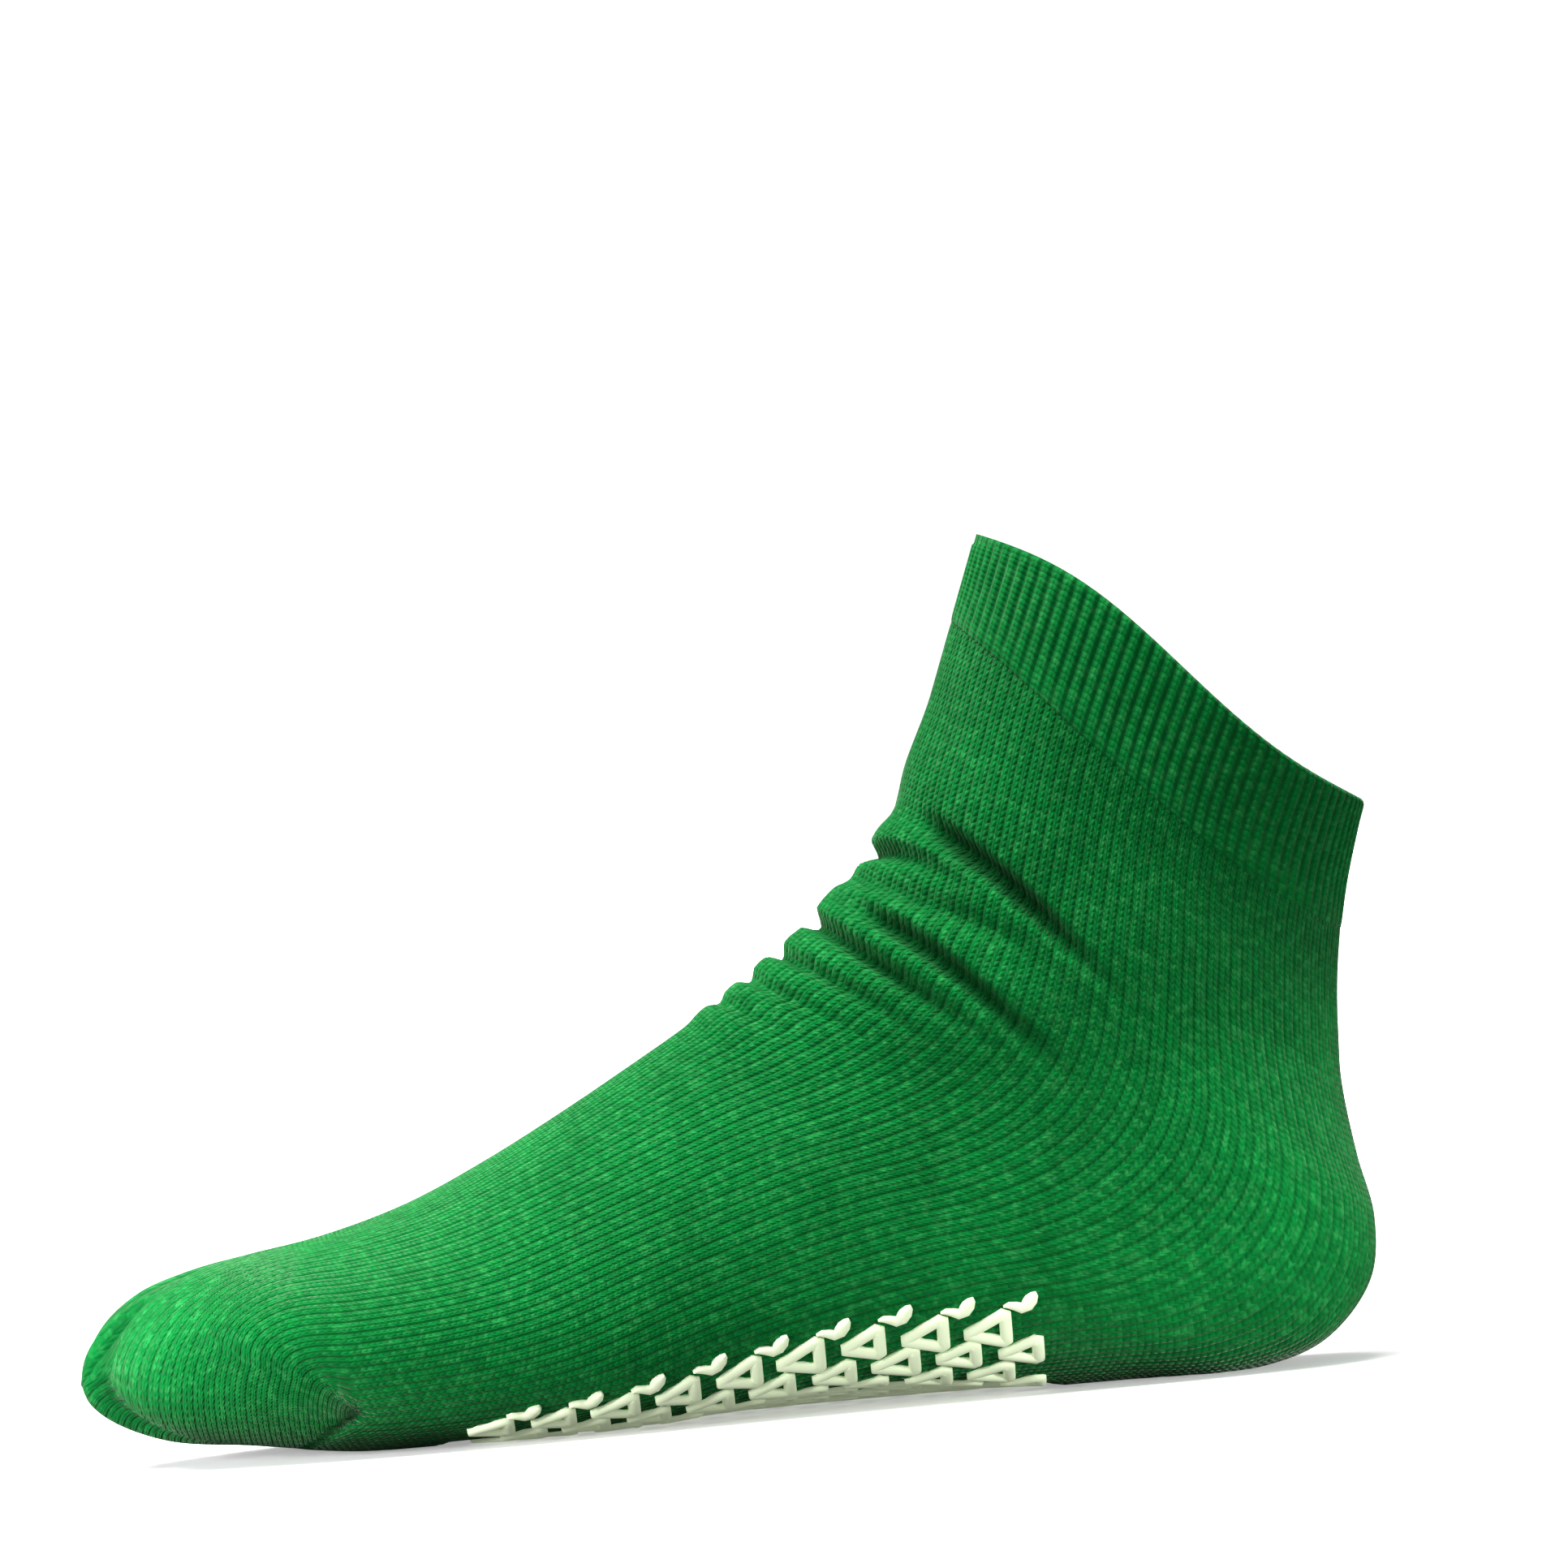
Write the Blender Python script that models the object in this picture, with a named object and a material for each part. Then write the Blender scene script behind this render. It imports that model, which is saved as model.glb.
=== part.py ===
"""Slipper sock for Blender 4.5: one knitted sock in the form of a worn right foot, a ribbed cuff and rubber grips.

The sock is a lofted tube. Each section is a closed curve in a plane that slopes from the front of the leg or the
top of the foot down to the heel or the sole, and the sections run from the collar to the toe tip. The cuff and the
grips are laid on the same tube. The toe points along -X, the inner side of the foot along -Y and up is +Z. While it
is being made the sock has its toe tip at x = 0, and at the end it is moved so that the origin is below its middle.
"""

import math
from collections import namedtuple

import bmesh
import bpy
import numpy as np

# Sizes of the sock on the foot, in metres
FOOT_LENGTH = 0.245
BALL_WIDTH = 0.095
HEEL_WIDTH = 0.064
TOE_HEIGHT = 0.0395
BEND_HEIGHT = 0.1125
HEEL_NOTCH_HEIGHT = 0.054
ARCH_HEIGHT = 0.0045
LEG_WIDTH = 0.064
LEG_DEPTH = 0.0680
COLLAR_SETBACK = 0.2164
COLLAR_FRONT_HEIGHT = 0.1607
COLLAR_BACK_HEIGHT = 0.1045
COLLAR_SWAY = 0.0032

# Sizes of the cloth and the print, in metres
KNIT_WALL = 0.0015
CUFF_LENGTH = 0.0195
CUFF_WALL = 0.0012
CUFF_PROUD = 0.0003
WELT_WALL = 0.0010
RIM_HEIGHT = 0.0014
GRIP_THICKNESS = 0.0008
GRIP_SIDE = 0.0092
GRIP_BAR = 0.0019
GRIP_CORNER = 0.0012
GRIP_PITCH = 0.0117
GRIP_COLUMNS = 9
PRINT_START = 0.0720
PRINT_MARGIN = 0.0020
FLOOR_RAMP = 0.0045
CLEARANCE = 0.0003

# Counts of the knit, the print and the facets
WALES = 108
FACETS_AROUND = 40
FACETS_ALONG = 62
LINING_AROUND = 20
LINING_ALONG = 44
OUTLINE_STEPS = 240
SPACING_STEPS = 2400

# One row for each section of the foot, from the bend of the ankle to the toe tip.
# top_x and sole_x are shares of the foot's length from the toe. top is 0 on the floor, 1 at the toe height and 2 at
# the bend height, and sole is a share of the heel notch height. inner and outer are half widths as shares of the
# heel's width where fore is 0 and of the ball's where it is 1, and crest is the sideways place of the top line as a
# share of the same width. waist is how high the widest point lies, and over, under_in and under_out are the
# exponents of the curve above it and of the curves below it on the inner and outer side.
Foot = namedtuple("Foot", "top_x top sole_x sole fore inner outer crest waist over under_in under_out")
FOOT_SECTIONS = (
    Foot(0.6690, 2.000, 0.9850, 1.000, 0.0, 0.530, 0.530, -0.03, 0.48, 2.0, 1.85, 1.85),
    Foot(0.6440, 1.850, 0.9920, 0.704, 0.0, 0.540, 0.540, -0.04, 0.44, 2.0, 1.95, 1.95),
    Foot(0.6145, 1.737, 1.0010, 0.480, 0.0, 0.540, 0.540, -0.06, 0.40, 2.0, 2.10, 2.10),
    Foot(0.5830, 1.648, 0.9940, 0.270, 0.0, 0.530, 0.535, -0.08, 0.36, 2.0, 2.20, 2.20),
    Foot(0.5490, 1.580, 0.9570, 0.080, 0.0, 0.515, 0.530, -0.10, 0.33, 2.0, 2.40, 2.40),
    Foot(0.5085, 1.504, 0.8950, -0.005, 0.1, 0.500, 0.520, -0.11, 0.32, 2.0, 2.50, 2.60),
    Foot(0.4575, 1.407, 0.8050, -0.006, 0.3, 0.470, 0.500, -0.12, 0.33, 2.0, 2.20, 2.70),
    Foot(0.3920, 1.285, 0.6900, -0.006, 0.6, 0.425, 0.480, -0.12, 0.36, 2.0, 2.00, 2.80),
    Foot(0.3265, 1.172, 0.5710, -0.004, 0.8, 0.425, 0.490, -0.12, 0.36, 2.0, 2.05, 2.80),
    Foot(0.2610, 1.077, 0.4410, 0.000, 1.0, 0.440, 0.505, -0.11, 0.34, 2.0, 2.60, 2.80),
    Foot(0.1960, 1.016, 0.3180, -0.008, 1.0, 0.460, 0.525, -0.10, 0.37, 2.1, 2.80, 2.80),
    Foot(0.1390, 0.972, 0.2120, -0.004, 1.0, 0.435, 0.500, -0.10, 0.40, 2.3, 2.70, 2.70),
    Foot(0.0900, 0.914, 0.1310, 0.044, 1.0, 0.380, 0.440, -0.10, 0.44, 2.3, 2.60, 2.60),
    Foot(0.0490, 0.824, 0.0650, 0.084, 1.0, 0.310, 0.355, -0.09, 0.47, 2.2, 2.30, 2.30),
    Foot(0.0225, 0.697, 0.0265, 0.156, 1.0, 0.220, 0.250, -0.07, 0.50, 2.1, 2.10, 2.10),
    Foot(0.0065, 0.550, 0.0073, 0.228, 1.0, 0.120, 0.135, -0.04, 0.50, 2.0, 2.00, 2.00),
    Foot(0.0000, 0.415, 0.0000, 0.304, 1.0, 0.000, 0.000, -0.03, 0.50, 2.0, 2.00, 2.00),
)

# One row for each section of the leg, from the collar down to just above the bend. rise is 1 at the collar and 0 at
# the bend. bow moves the back line forwards, as a share of the leg's depth, and inner and outer are half widths as
# shares of the leg's width.
Leg = namedtuple("Leg", "rise bow inner outer waist front_round back_round")
LEG_SECTIONS = (
    Leg(1.00, 0.000, 0.505, 0.505, 0.50, 2.0, 2.0),
    Leg(0.66, 0.030, 0.495, 0.495, 0.50, 2.0, 1.9),
    Leg(0.36, 0.030, 0.505, 0.505, 0.50, 2.0, 1.85),
    Leg(0.14, 0.014, 0.520, 0.520, 0.49, 2.0, 1.85),
)

# Folds across the front of the ankle. along is the fold's place on the way from the collar to the toe tip, height and
# width are shares of the toe height, reach is how far it runs round each side before it dies out, where 1 is the back
# of the tube, and slant moves it towards the toe as it goes round.
Fold = namedtuple("Fold", "along height width reach slant")
FOLDS = (
    Fold(0.163, 0.030, 0.260, 0.45, 0.030),
    Fold(0.211, 0.100, 0.165, 0.50, 0.045),
    Fold(0.254, 0.112, 0.130, 0.62, 0.050),
    Fold(0.285, 0.085, 0.105, 0.50, 0.050),
    Fold(0.315, 0.065, 0.100, 0.62, 0.045),
    Fold(0.343, 0.060, 0.090, 0.45, 0.040),
    Fold(0.370, 0.030, 0.090, 0.34, 0.035),
)
LINING_FOLD_SHARE = 0.6

# Where the sections are spaced closer together, as shares of the way along, and by how much
CROWDED_MARGIN = 0.025
CROWDED_AT_FOLDS = 2.2
TIP_START = 0.90
CROWDED_AT_TIP = 1.5

# The collar's edge sways out of its plane, and the sway dies out down to this share of the way along
SWAY_END = 0.25
SWAY_LIFT = 0.5

# The cuff's outline in section. along is a share of the cuff's length, or of the rim's height where rim is 1, and
# across is 0 at the turned edge inside and 1 on the outer face.
CuffPoint = namedtuple("CuffPoint", "along rim across")
CUFF_OUTER_FACE = (
    CuffPoint(1.0, 0, 0.94),
    CuffPoint(0.9, 0, 1.0),
    CuffPoint(0.5, 0, 1.0),
    CuffPoint(0.6, 1, 1.0),
    CuffPoint(0.0, 1, 0.75),
    CuffPoint(0.0, 1, 0.25),
    CuffPoint(0.6, 1, 0.0),
    CuffPoint(1.0, 1, 0.0),
)

# Soft bumps of the body under the cloth: x is a share of the foot's length, y of the heel's width, z of the heel
# notch height, and height and size are shares of the heel's width.
Bump = namedtuple("Bump", "x y z height size")
BUMPS = (
    Bump(0.835, -0.52, 1.45, 0.030, 0.36),
    Bump(0.870, 0.52, 1.25, 0.032, 0.34),
)

# Grooves where the cloth spans from toe to toe: y is a share of the ball's width, depth and width are shares of the
# toe height, and reach is how far back it runs, as a share of the foot's length.
Groove = namedtuple("Groove", "y depth width reach")
TOE_GROOVES = (
    Groove(-0.125, 0.055, 0.085, 0.120),
    Groove(0.070, 0.028, 0.080, 0.100),
    Groove(0.215, 0.024, 0.080, 0.120),
    Groove(0.350, 0.024, 0.080, 0.150),
)

# The line of the toe tips slants back from the second toe to the little toe
TOE_SLANT_START = -0.03
TOE_SLANT_WIDTH = 0.50
TOE_SLANT_DEPTH = 0.135
TOE_SLANT_REACH = 0.36
TOE_SLANT_FADE = 1.5

# The arch is hollow on the inner side of the sole
ARCH_CENTRE = 0.600
ARCH_HALF_LENGTH = 0.200
ARCH_INNER = -0.34
ARCH_OUTER = 0.16
ARCH_ROUND = 1.5

# One row for each row of grips, from the outer side to the inner side: wales is its distance from the middle of the
# sole, towards the inner side.
GripRow = namedtuple("GripRow", "name wales")
GRIP_ROWS = (
    GripRow("outer3", -17.5),
    GripRow("outer2", -10.5),
    GripRow("outer1", -3.5),
    GripRow("inner1", 3.5),
    GripRow("inner2", 10.5),
    GripRow("inner3", 17.5),
)

Material = namedtuple("Material", "name colour roughness")
KNIT = Material("green_knit", (0.006, 0.165, 0.032, 1.0), 0.92)
RIB = Material("green_rib", (0.005, 0.145, 0.028, 1.0), 0.92)
RUBBER = Material("cream_rubber", (0.70, 0.80, 0.53, 1.0), 0.45)


def smooth_step(value):
    """0 below 0, 1 above 1 and a soft rise between."""
    share = np.clip(value, 0.0, 1.0)
    return share * share * (3.0 - 2.0 * share)


def stacked(share, low, high):
    """A height from the floor to low as share goes from 0 to 1, and on to high as it goes to 2."""
    return low * np.minimum(share, 1.0) + (high - low) * np.maximum(share - 1.0, 0.0)


def foot_rows():
    """The foot's sections in metres: top x, z, sole x, z, inner, outer, crest, then the shares as they are."""
    rows = []
    for row in FOOT_SECTIONS:
        width = HEEL_WIDTH + row.fore * (BALL_WIDTH - HEEL_WIDTH)
        rows.append((
            row.top_x * FOOT_LENGTH,
            stacked(row.top, TOE_HEIGHT, BEND_HEIGHT),
            row.sole_x * FOOT_LENGTH,
            row.sole * HEEL_NOTCH_HEIGHT,
            row.inner * width,
            row.outer * width,
            row.crest * width,
            row.waist,
            row.over,
            row.under_in,
            row.under_out,
        ))
    return rows


def leg_rows(bend):
    """The leg's sections in metres, in the same columns, from the collar down to the bend's own row."""
    front_x, front_z, back_x, back_z = bend[:4]
    collar_front_x = COLLAR_SETBACK - LEG_DEPTH / 2
    collar_back_x = COLLAR_SETBACK + LEG_DEPTH / 2
    rows = []
    for row in LEG_SECTIONS:
        rows.append((
            front_x + row.rise * (collar_front_x - front_x),
            front_z + row.rise * (COLLAR_FRONT_HEIGHT - front_z),
            back_x + row.rise * (collar_back_x - back_x) - row.bow * LEG_DEPTH,
            back_z + row.rise * (COLLAR_BACK_HEIGHT - back_z),
            row.inner * LEG_WIDTH,
            row.outer * LEG_WIDTH,
            bend[6] * (1.0 - row.rise),
            row.waist,
            row.front_round,
            row.back_round,
            row.back_round,
        ))
    return rows


def section_table():
    """All sections in metres, and the place of each one from 0 at the collar to 1 at the toe tip."""
    foot = foot_rows()
    table = np.array(leg_rows(foot[0]) + foot)
    middle_x, middle_z = (table[:, 0] + table[:, 2]) / 2, (table[:, 1] + table[:, 3]) / 2
    lines = (
        np.stack([table[:, 0], table[:, 1], table[:, 6]], axis=1),
        np.stack([table[:, 2], table[:, 3], 0.0 * table[:, 6]], axis=1),
        np.stack([middle_x, middle_z, table[:, 4]], axis=1),
        np.stack([middle_x, middle_z, table[:, 5]], axis=1),
    )
    steps = sum(np.linalg.norm(np.diff(line, axis=0), axis=1) for line in lines)
    place = np.concatenate([[0.0], np.cumsum(steps)])
    return table, place / place[-1]


def sections_at(along):
    """The table's columns at each place along the tube, on a smooth curve through the rows."""
    table, place = section_table()
    slope = np.gradient(table, place, axis=0)
    low = np.clip(np.searchsorted(place, along, side="right") - 1, 0, len(place) - 2)
    span = (place[low + 1] - place[low])[:, None]
    t = (along[:, None] - place[low][:, None]) / span
    return (
        (2 * t**3 - 3 * t**2 + 1) * table[low]
        + (t**3 - 2 * t**2 + t) * span * slope[low]
        + (3 * t**2 - 2 * t**3) * table[low + 1]
        + (t**3 - t**2) * span * slope[low + 1]
    )


def section_outlines(along):
    """The closed outline of each section before it meets the floor, from the top line round the outer side."""
    columns = sections_at(along).T[:, :, None]
    top_x, top_z, sole_x, sole_z, inner, outer, crest, waist, over_n, under_in_n, under_out_n = columns
    angle = np.linspace(0.0, 2 * math.pi, OUTLINE_STEPS + 1)[None, :]
    up, side = np.cos(angle), np.sin(angle)
    over = up >= 0.0
    exponent = 2.0 / np.where(over, over_n, np.where(side >= 0.0, under_out_n, under_in_n))
    rise = np.abs(up) ** exponent
    height = np.where(over, waist + (1.0 - waist) * rise, waist * (1.0 - rise))
    half_width = np.where(side >= 0.0, np.maximum(outer, 0.0), np.maximum(inner, 0.0))
    y = crest * height + np.sign(side) * half_width * np.abs(side) ** exponent
    x = sole_x + (top_x - sole_x) * height
    z = sole_z + (top_z - sole_z) * height
    sway = COLLAR_SWAY * (1.0 - smooth_step(along[:, None] / SWAY_END))
    z = z - sway * np.sin(2 * math.pi * height) + SWAY_LIFT * sway * np.sin(math.pi * height)
    return np.stack([x, y, z], axis=-1)


def slanted_toes(points):
    """The points with the outer toes drawn back."""
    x, y, z = np.moveaxis(points, -1, 0)
    aside = np.maximum(y / BALL_WIDTH - TOE_SLANT_START, 0.0) / TOE_SLANT_WIDTH
    near = np.maximum(1.0 - x / (TOE_SLANT_REACH * FOOT_LENGTH), 0.0)
    x = x + TOE_SLANT_DEPTH * FOOT_LENGTH * aside**2 * near**TOE_SLANT_FADE
    return np.stack([x, y, z], axis=-1)


def floor_height(x, y):
    """How high the cloth is held at each place: on the floor at the heel, on the grips, and over the arch."""
    print_front = PRINT_START - PRINT_MARGIN
    print_rear = PRINT_START + GRIP_COLUMNS * GRIP_PITCH + PRINT_MARGIN
    behind_ball = smooth_step((x - print_front) / FLOOR_RAMP + 1.0)
    before_heel = smooth_step((print_rear - x) / FLOOR_RAMP + 1.0)
    on_grips = (GRIP_THICKNESS + CLEARANCE) * behind_ball * before_heel
    reach = np.clip(np.abs(x / FOOT_LENGTH - ARCH_CENTRE) / ARCH_HALF_LENGTH, 0.0, 1.0)
    inward = smooth_step((ARCH_OUTER - y / BALL_WIDTH) / (ARCH_OUTER - ARCH_INNER))
    return on_grips + ARCH_HEIGHT * np.cos(reach * math.pi / 2) ** 2 * inward**ARCH_ROUND


def standing(points):
    """The points lifted to where the cloth is held."""
    x, y, z = np.moveaxis(points, -1, 0)
    return np.stack([x, y, np.maximum(z, floor_height(x, y))], axis=-1)


def evenly_round(outlines, count):
    """Each outline as count points, evenly spaced down the outer side and evenly spaced up the inner side."""
    half = OUTLINE_STEPS // 2
    rings = np.empty((len(outlines), count, 3))
    for ring, outline in zip(rings, outlines):
        step = np.linalg.norm(np.diff(outline, axis=0), axis=1)
        length = np.concatenate([[0.0], np.cumsum(step)])
        wanted = np.concatenate([
            np.linspace(0.0, length[half], count // 2, endpoint=False),
            np.linspace(length[half], length[-1], count - count // 2, endpoint=False),
        ])
        for axis in range(3):
            ring[:, axis] = np.interp(wanted, length, outline[:, axis])
    return rings


def normals_of(grid):
    """The outward direction at each point of a tube of rings whose last ring is the closed tip."""
    around = np.roll(grid, -1, axis=1) - np.roll(grid, 1, axis=1)
    along = np.gradient(grid, axis=0)
    normal = np.cross(around, along)
    length = np.linalg.norm(normal, axis=-1, keepdims=True)
    normal = normal / np.maximum(length, 1e-12)
    tip = normal[-2].mean(axis=0)
    normal[-1] = tip / np.linalg.norm(tip)
    return normal


def fold_height(along, count):
    """How far the folds stand out at each point of the tube."""
    round_share = 1.0 - np.abs(1.0 - 2.0 * np.arange(count) / count)
    height = np.zeros((len(along), count))
    for fold in FOLDS:
        centre = fold.along + fold.slant * round_share[None, :]
        width = fold.width * TOE_HEIGHT / tube_length()
        ridge = np.clip(1.0 - np.abs(along[:, None] - centre) / width, 0.0, 1.0)
        fade = 1.0 - smooth_step(round_share / fold.reach)[None, :]
        height += fold.height * TOE_HEIGHT * smooth_step(ridge) * fade
    return height


def tube_length():
    """The length of the front line, from the collar over the foot to the toe tip."""
    table, _ = section_table()
    return np.linalg.norm(np.diff(table[:, :2], axis=0), axis=1).sum()


def body_relief(grid):
    """How far the ankle bones push the cloth out and the grooves between the toes let it in."""
    x, y, z = np.moveaxis(grid, -1, 0)
    relief = np.zeros(x.shape)
    for bump in BUMPS:
        away = np.sqrt(
            (x - bump.x * FOOT_LENGTH) ** 2
            + (y - bump.y * HEEL_WIDTH) ** 2
            + (z - bump.z * HEEL_NOTCH_HEIGHT) ** 2
        )
        relief += bump.height * HEEL_WIDTH * (1.0 - smooth_step(away / (bump.size * HEEL_WIDTH)))
    for groove in TOE_GROOVES:
        aside = np.abs(y - groove.y * BALL_WIDTH) / (groove.width * TOE_HEIGHT * 2.0)
        back = x / (groove.reach * FOOT_LENGTH)
        relief -= groove.depth * TOE_HEIGHT * (1.0 - smooth_step(aside)) * (1.0 - smooth_step(back))
    return relief


def tube(along, count, offset, fold_share=1.0):
    """Rings of points on the sock at each place along it, offset metres outwards from its outer face."""
    grid = evenly_round(standing(slanted_toes(section_outlines(along))), count)
    normal = normals_of(grid)
    relief = body_relief(grid) + fold_share * fold_height(along, count)
    return standing(grid + normal * relief[..., None]) + normal * offset[:, None, None]


def cuff_share():
    """The place along the tube where the cuff ends."""
    return CUFF_LENGTH / tube_length()


def ring_of(bm, points):
    """A ring of vertices, or one vertex for the closed tip."""
    return [bm.verts.new(point) for point in points]


def skin_between(bm, first, second):
    """Faces between two closed rings, where the second may have half as many points or be a single tip."""
    count, other = len(first), len(second)
    for i in range(count):
        j = (i + 1) % count
        if other == 1:
            bm.faces.new((first[i], first[j], second[0]))
        elif other == count:
            bm.faces.new((first[i], first[j], second[j], second[i]))
        elif i % 2 == 0:
            bm.faces.new((first[i], first[j], second[i // 2]))
        else:
            bm.faces.new((first[i], first[j], second[(i // 2 + 1) % other], second[i // 2]))


def finished(bm, name, material):
    """An object of the mesh, with its faces pointing out and shaded smooth."""
    bmesh.ops.recalc_face_normals(bm, faces=bm.faces)
    mesh = bpy.data.meshes.new(name)
    bm.to_mesh(mesh)
    bm.free()
    mesh.materials.append(material)
    mesh.shade_smooth()
    part = bpy.data.objects.new(name, mesh)
    bpy.context.scene.collection.objects.link(part)
    return part


def made_material(look):
    """A Principled material in the look's colour and roughness."""
    material = bpy.data.materials.new(look.name)
    material.use_nodes = True
    shader = material.node_tree.nodes["Principled BSDF"]
    shader.inputs["Base Color"].default_value = look.colour
    shader.inputs["Roughness"].default_value = look.roughness
    shader.inputs["Metallic"].default_value = 0.0
    return material


def crowding(along):
    """How closely the sections are spaced at each place, against the plain stretches."""
    first, last = FOLDS[0].along, FOLDS[-1].along
    after_first = smooth_step((along - first + CROWDED_MARGIN) / CROWDED_MARGIN)
    before_last = smooth_step((last + 2.0 * CROWDED_MARGIN - along) / CROWDED_MARGIN)
    tip = smooth_step((along - TIP_START) / (1.0 - TIP_START))
    return 1.0 + CROWDED_AT_FOLDS * after_first * before_last + CROWDED_AT_TIP * tip


def spaced(start, count):
    """Places from start to the toe tip, closer together where the form bends most."""
    fine = np.linspace(start, 1.0, SPACING_STEPS)
    weight = np.concatenate([[0.0], np.cumsum(crowding(fine[1:]))])
    return np.interp(np.linspace(0.0, weight[-1], count), weight, fine)


def places_below_cuff():
    """The places of the sock's sections from the cuff's end to the toe tip."""
    start = cuff_share() + CLEARANCE / tube_length()
    return spaced(start, FACETS_ALONG)


def knit_sock(material):
    """The leg, heel, foot and toe pocket, knitted in one, with the thinner inner layer of the cuff at its top."""
    cuff_end = cuff_share()
    step = CLEARANCE / tube_length()
    welt_face = -(CUFF_WALL - CUFF_PROUD + CLEARANCE)
    welt_top = (RIM_HEIGHT + CLEARANCE) / tube_length()
    outer_along = np.concatenate([[welt_top, (welt_top + cuff_end) / 2, cuff_end + step], places_below_cuff()])
    outer_offset = np.where(np.arange(len(outer_along)) < 3, welt_face, 0.0)
    inner_below = spaced(cuff_end + 2 * step, LINING_ALONG)
    inner_along = np.concatenate([[welt_top, cuff_end], inner_below])
    inner_offset = np.where(np.arange(len(inner_along)) < 2, welt_face - WELT_WALL, -KNIT_WALL)
    outer = tube(outer_along, FACETS_AROUND, outer_offset)
    inner = tube(inner_along, LINING_AROUND, inner_offset, LINING_FOLD_SHARE)
    bm = bmesh.new()
    outer_rings = [ring_of(bm, ring) for ring in outer[:-1]] + [ring_of(bm, outer[-1][:1])]
    inner_rings = [ring_of(bm, ring) for ring in inner[:-1]] + [ring_of(bm, inner[-1][:1])]
    for rings in (outer_rings, inner_rings):
        for first, second in zip(rings, rings[1:]):
            skin_between(bm, first, second)
    skin_between(bm, outer_rings[0], inner_rings[0])
    return finished(bm, "knit_sock", material)


def cuff(material):
    """The ribbed outer layer of the cuff, turned over the top of the inner layer."""
    end, rim = cuff_share(), RIM_HEIGHT / tube_length()
    inner_face = CUFF_PROUD - CUFF_WALL
    turned_face = inner_face - CLEARANCE - WELT_WALL
    profile = [
        (point.along * (rim if point.rim else end), turned_face + point.across * (CUFF_PROUD - turned_face))
        for point in CUFF_OUTER_FACE
    ]
    profile += [(rim, inner_face), (end / 2, inner_face), (end, inner_face)]
    bm = bmesh.new()
    rings = []
    for along, offset in profile:
        places = np.array([along, along + 0.01, 1.0])
        ring = tube(places, FACETS_AROUND, np.array([offset, 0.0, 0.0]))[0]
        rings.append(ring_of(bm, ring))
    for first, second in zip(rings, rings[1:] + rings[:1]):
        skin_between(bm, first, second)
    return finished(bm, "cuff", material)


class SoleChart:
    """Finds the point of the sole at a length from the toe and a number of wales from the middle of the sole."""

    def __init__(self):
        along = places_below_cuff()
        self.grid = tube(along, FACETS_AROUND, np.zeros(len(along)))
        self.normal = normals_of(self.grid)

    def point(self, length, wales, offset):
        """The point offset metres off the cloth, at length from the toe and wales towards the inner side."""
        place = FACETS_AROUND * (0.5 + wales / WALES)
        low = int(math.floor(place))
        share = place - low
        found = np.zeros(3)
        out = np.zeros(3)
        for column, weight in ((low, 1.0 - share), (low + 1, share)):
            line = self.grid[::-1, column % FACETS_AROUND]
            outward = self.normal[::-1, column % FACETS_AROUND]
            for axis in range(3):
                found[axis] += weight * np.interp(length, line[:, 0], line[:, axis])
                out[axis] += weight * np.interp(length, line[:, 0], outward[:, axis])
        return found + offset * out / np.linalg.norm(out)

    def dip(self, first, second):
        """How far a straight bar between two places on the cloth runs under it, for places (length, wales)."""
        start, end = self.point(*first, 0.0), self.point(*second, 0.0)
        deepest = 0.0
        for share in (0.25, 0.5, 0.75):
            place = [a + share * (b - a) for a, b in zip(first, second)]
            cloth = self.point(*place, 0.0)
            outward = self.point(*place, 1.0) - cloth
            deepest = max(deepest, float(np.dot(cloth - start - share * (end - start), outward)))
        return deepest

    def wale_pitch(self, length, wales):
        """The width of one wale at that place, in metres."""
        return np.linalg.norm(self.point(length, wales + 0.5, 0.0) - self.point(length, wales - 0.5, 0.0))


def triangle(side, corner, corner_steps):
    """A triangle about its middle with one corner to the toe: each corner's points, then the side's middle."""
    reach = side / math.sqrt(3.0) - 2.0 * corner
    points = []
    for k in range(3):
        heading = math.pi + k * 2.0 * math.pi / 3.0
        for step in range(corner_steps):
            turn = heading + (step - (corner_steps - 1) / 2) * 2.0 * math.pi / 3.0 / max(corner_steps - 1, 1)
            points.append((
                reach * math.cos(heading) + corner * math.cos(turn),
                reach * math.sin(heading) + corner * math.sin(turn),
            ))
        middle = heading + math.pi / 3.0
        inset = reach / 2.0 + corner
        points.append((inset * math.cos(middle), inset * math.sin(middle)))
    return points


def grip(name, chart, length, wales, material):
    """One printed grip: a triangle of rubber with a triangular opening, laid on the sole."""
    pitch = chart.wale_pitch(length, wales)
    outside = triangle(GRIP_SIDE, GRIP_CORNER, 3)
    opening = triangle(GRIP_SIDE - 2.0 * math.sqrt(3.0) * GRIP_BAR, 0.0, 1)
    loops = [[(length + dx, wales + dy / pitch) for dx, dy in loop] for loop in (outside, opening)]
    bars = [(loop[i - 1], loop[i]) for loop in loops for i in range(len(loop))]
    bars += [(loops[0][i], loops[1][i // 2]) for i in range(len(loops[0]))]
    lift = max(chart.dip(*bar) for bar in bars)
    bm = bmesh.new()
    levels = []
    for offset in (CLEARANCE, CLEARANCE + GRIP_THICKNESS):
        levels.append([])
        for loop in loops:
            points = [chart.point(*place, offset + lift) for place in loop]
            levels[-1].append([bm.verts.new((x, y, max(z, 0.0))) for x, y, z in points])
    (low_out, low_in), (high_out, high_in) = levels
    skin_between(bm, low_out, high_out)
    skin_between(bm, high_in, low_in)
    face_of_ring(bm, low_out, low_in)
    face_of_ring(bm, high_out, high_in)
    return finished(bm, name, material)


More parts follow.
